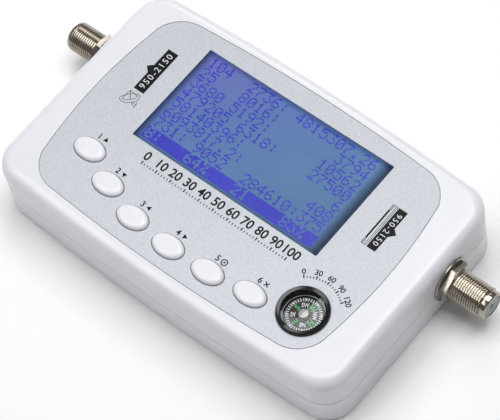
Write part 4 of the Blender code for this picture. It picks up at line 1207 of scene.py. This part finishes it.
def nut_mesh(name):
    washer_top = HOLE_CLEARANCE + WASHER_THICKNESSES[name]
    bottom = washer_top + NUT_GAP
    top = washer_top + HOLE_CLEARANCE + NUT_THICKNESS
    flat = NUT_ACROSS_FLATS / 2
    corner = flat / math.cos(math.pi / NUT_SIDES)
    hexagon = moved(rod_mesh(corner, bottom, top, steps=NUT_SIDES),
                    Matrix.Rotation(NUT_TURNS[name], 4, "Z"))
    outside = corner + OVERRUN
    cone = turned_mesh([(0, bottom - OVERRUN), (outside, bottom - OVERRUN),
                        (outside, top - (outside - flat) * NUT_CHAMFER_SLOPE), (flat, top), (0, top)])
    hole = rod_mesh(THREAD_RADIUS + NUT_BORE_GAP, bottom - OVERRUN, top + OVERRUN)
    return bevelled(combine(combine(hexagon, [cone], "INTERSECT"), [hole]), NUT_EDGE_ROUND)


def insulator_mesh(_):
    """A plug of plastic whose funnel leads to the sleeve of the centre contact."""
    mouth = SOCKET_REACH - INSULATOR_SETBACK
    lip = INSULATOR_SETBACK / 2
    wide, middle, narrow = (SLEEVE_RADIUS * share for share in FUNNEL_SHARES)
    profile = [(SLEEVE_RADIUS, SOCKET_TAIL), (INSULATOR_RADIUS, SOCKET_TAIL),
               (INSULATOR_RADIUS, mouth - lip), (INSULATOR_RADIUS - lip, mouth), (wide, mouth),
               (middle, mouth - lip), (narrow, mouth - lip), (SLEEVE_RADIUS, mouth - 2 * lip)]
    return turned_mesh(profile, ends="joined")


# Builder, end of the name, material, slot and end of the node's name
SOCKET_PIECES = (
    (barrel_mesh, "_threaded_barrel", "nickel_plate", "nickel", "_barrel"),
    (washer_mesh, "_flat_washer", "nut_plate", "nickel", "_washer"),
    (nut_mesh, "_hex_nut", "nut_plate", "nickel", "_nut"),
    (insulator_mesh, "_core", "pale_insulator", "pale_plastic", "_insulator"),
)


def make_socket(name, side):
    for build, ending, material, slot_name, node_ending in SOCKET_PIECES:
        mesh = moved(build(name), socket_frame(side))
        add_piece(name + ending, mesh, material, slot_name, name + node_ending)


# Stage

def make_floor():
    mesh = prism(box_outline(-FLOOR_HALF, -FLOOR_HALF, FLOOR_HALF, FLOOR_HALF), -FLOOR_DROP - OVERRUN,
                 -FLOOR_DROP)
    dress(mesh, "pale_floor")
    new_object("floor", mesh)


def make_lights():
    for name, (place, aim, width, height, radiance) in LIGHTS.items():
        light = new_object(name, with_settings(
            bpy.data.lights.new(name, "AREA"), shape="RECTANGLE", size=width, size_y=height,
            energy=radiance * math.pi * width * height))
        light.location = place
        if aim:
            light.rotation_euler = (Vector(aim) - Vector(place)).to_track_quat("-Z", "Y").to_euler()
    world = bpy.data.worlds.new("studio")
    world.use_nodes = True
    world.node_tree.nodes["Background"].inputs["Color"].default_value = WORLD_GREY
    bpy.context.scene.world = world


def make_camera():
    camera = new_object("camera", with_settings(
        bpy.data.cameras.new("camera"), sensor_width=SENSOR_WIDTH,
        lens=CAMERA_FOCAL_PIXELS * SENSOR_WIDTH / PHOTO_WIDTH_PIXELS))
    right, down, ahead = (Vector(row) for row in CAMERA_ROWS)
    turn = Matrix((right, -down, -ahead)).transposed().to_quaternion().normalized()
    camera.matrix_world = Matrix.Translation(CAMERA_PLACE) @ turn.to_matrix().to_4x4()
    bpy.context.scene.camera = camera
    bpy.context.scene.view_settings.view_transform = "Standard"


for surface_name, surface in SURFACES.items():
    make_surface(surface_name, *surface)
for clear in CLEAR_TINTS.items():
    make_clear(*clear)
make_silver_print()
make_screen()
make_dots()

make_top_shell()
make_bottom_shell()
make_face_label()
make_printing()
make_display()
for key in KEY_BODIES.items():
    make_key(*key)
make_compass()
for socket in SOCKET_SIDES.items():
    make_socket(*socket)

for part in frame["record"]["subparts"]:
    if part["material_slot"] in SLOT_MATERIALS:
        dress(frame["nodes"][part["node"]].data, SLOT_MATERIALS[part["material_slot"]])

make_floor()
make_lights()
make_camera()
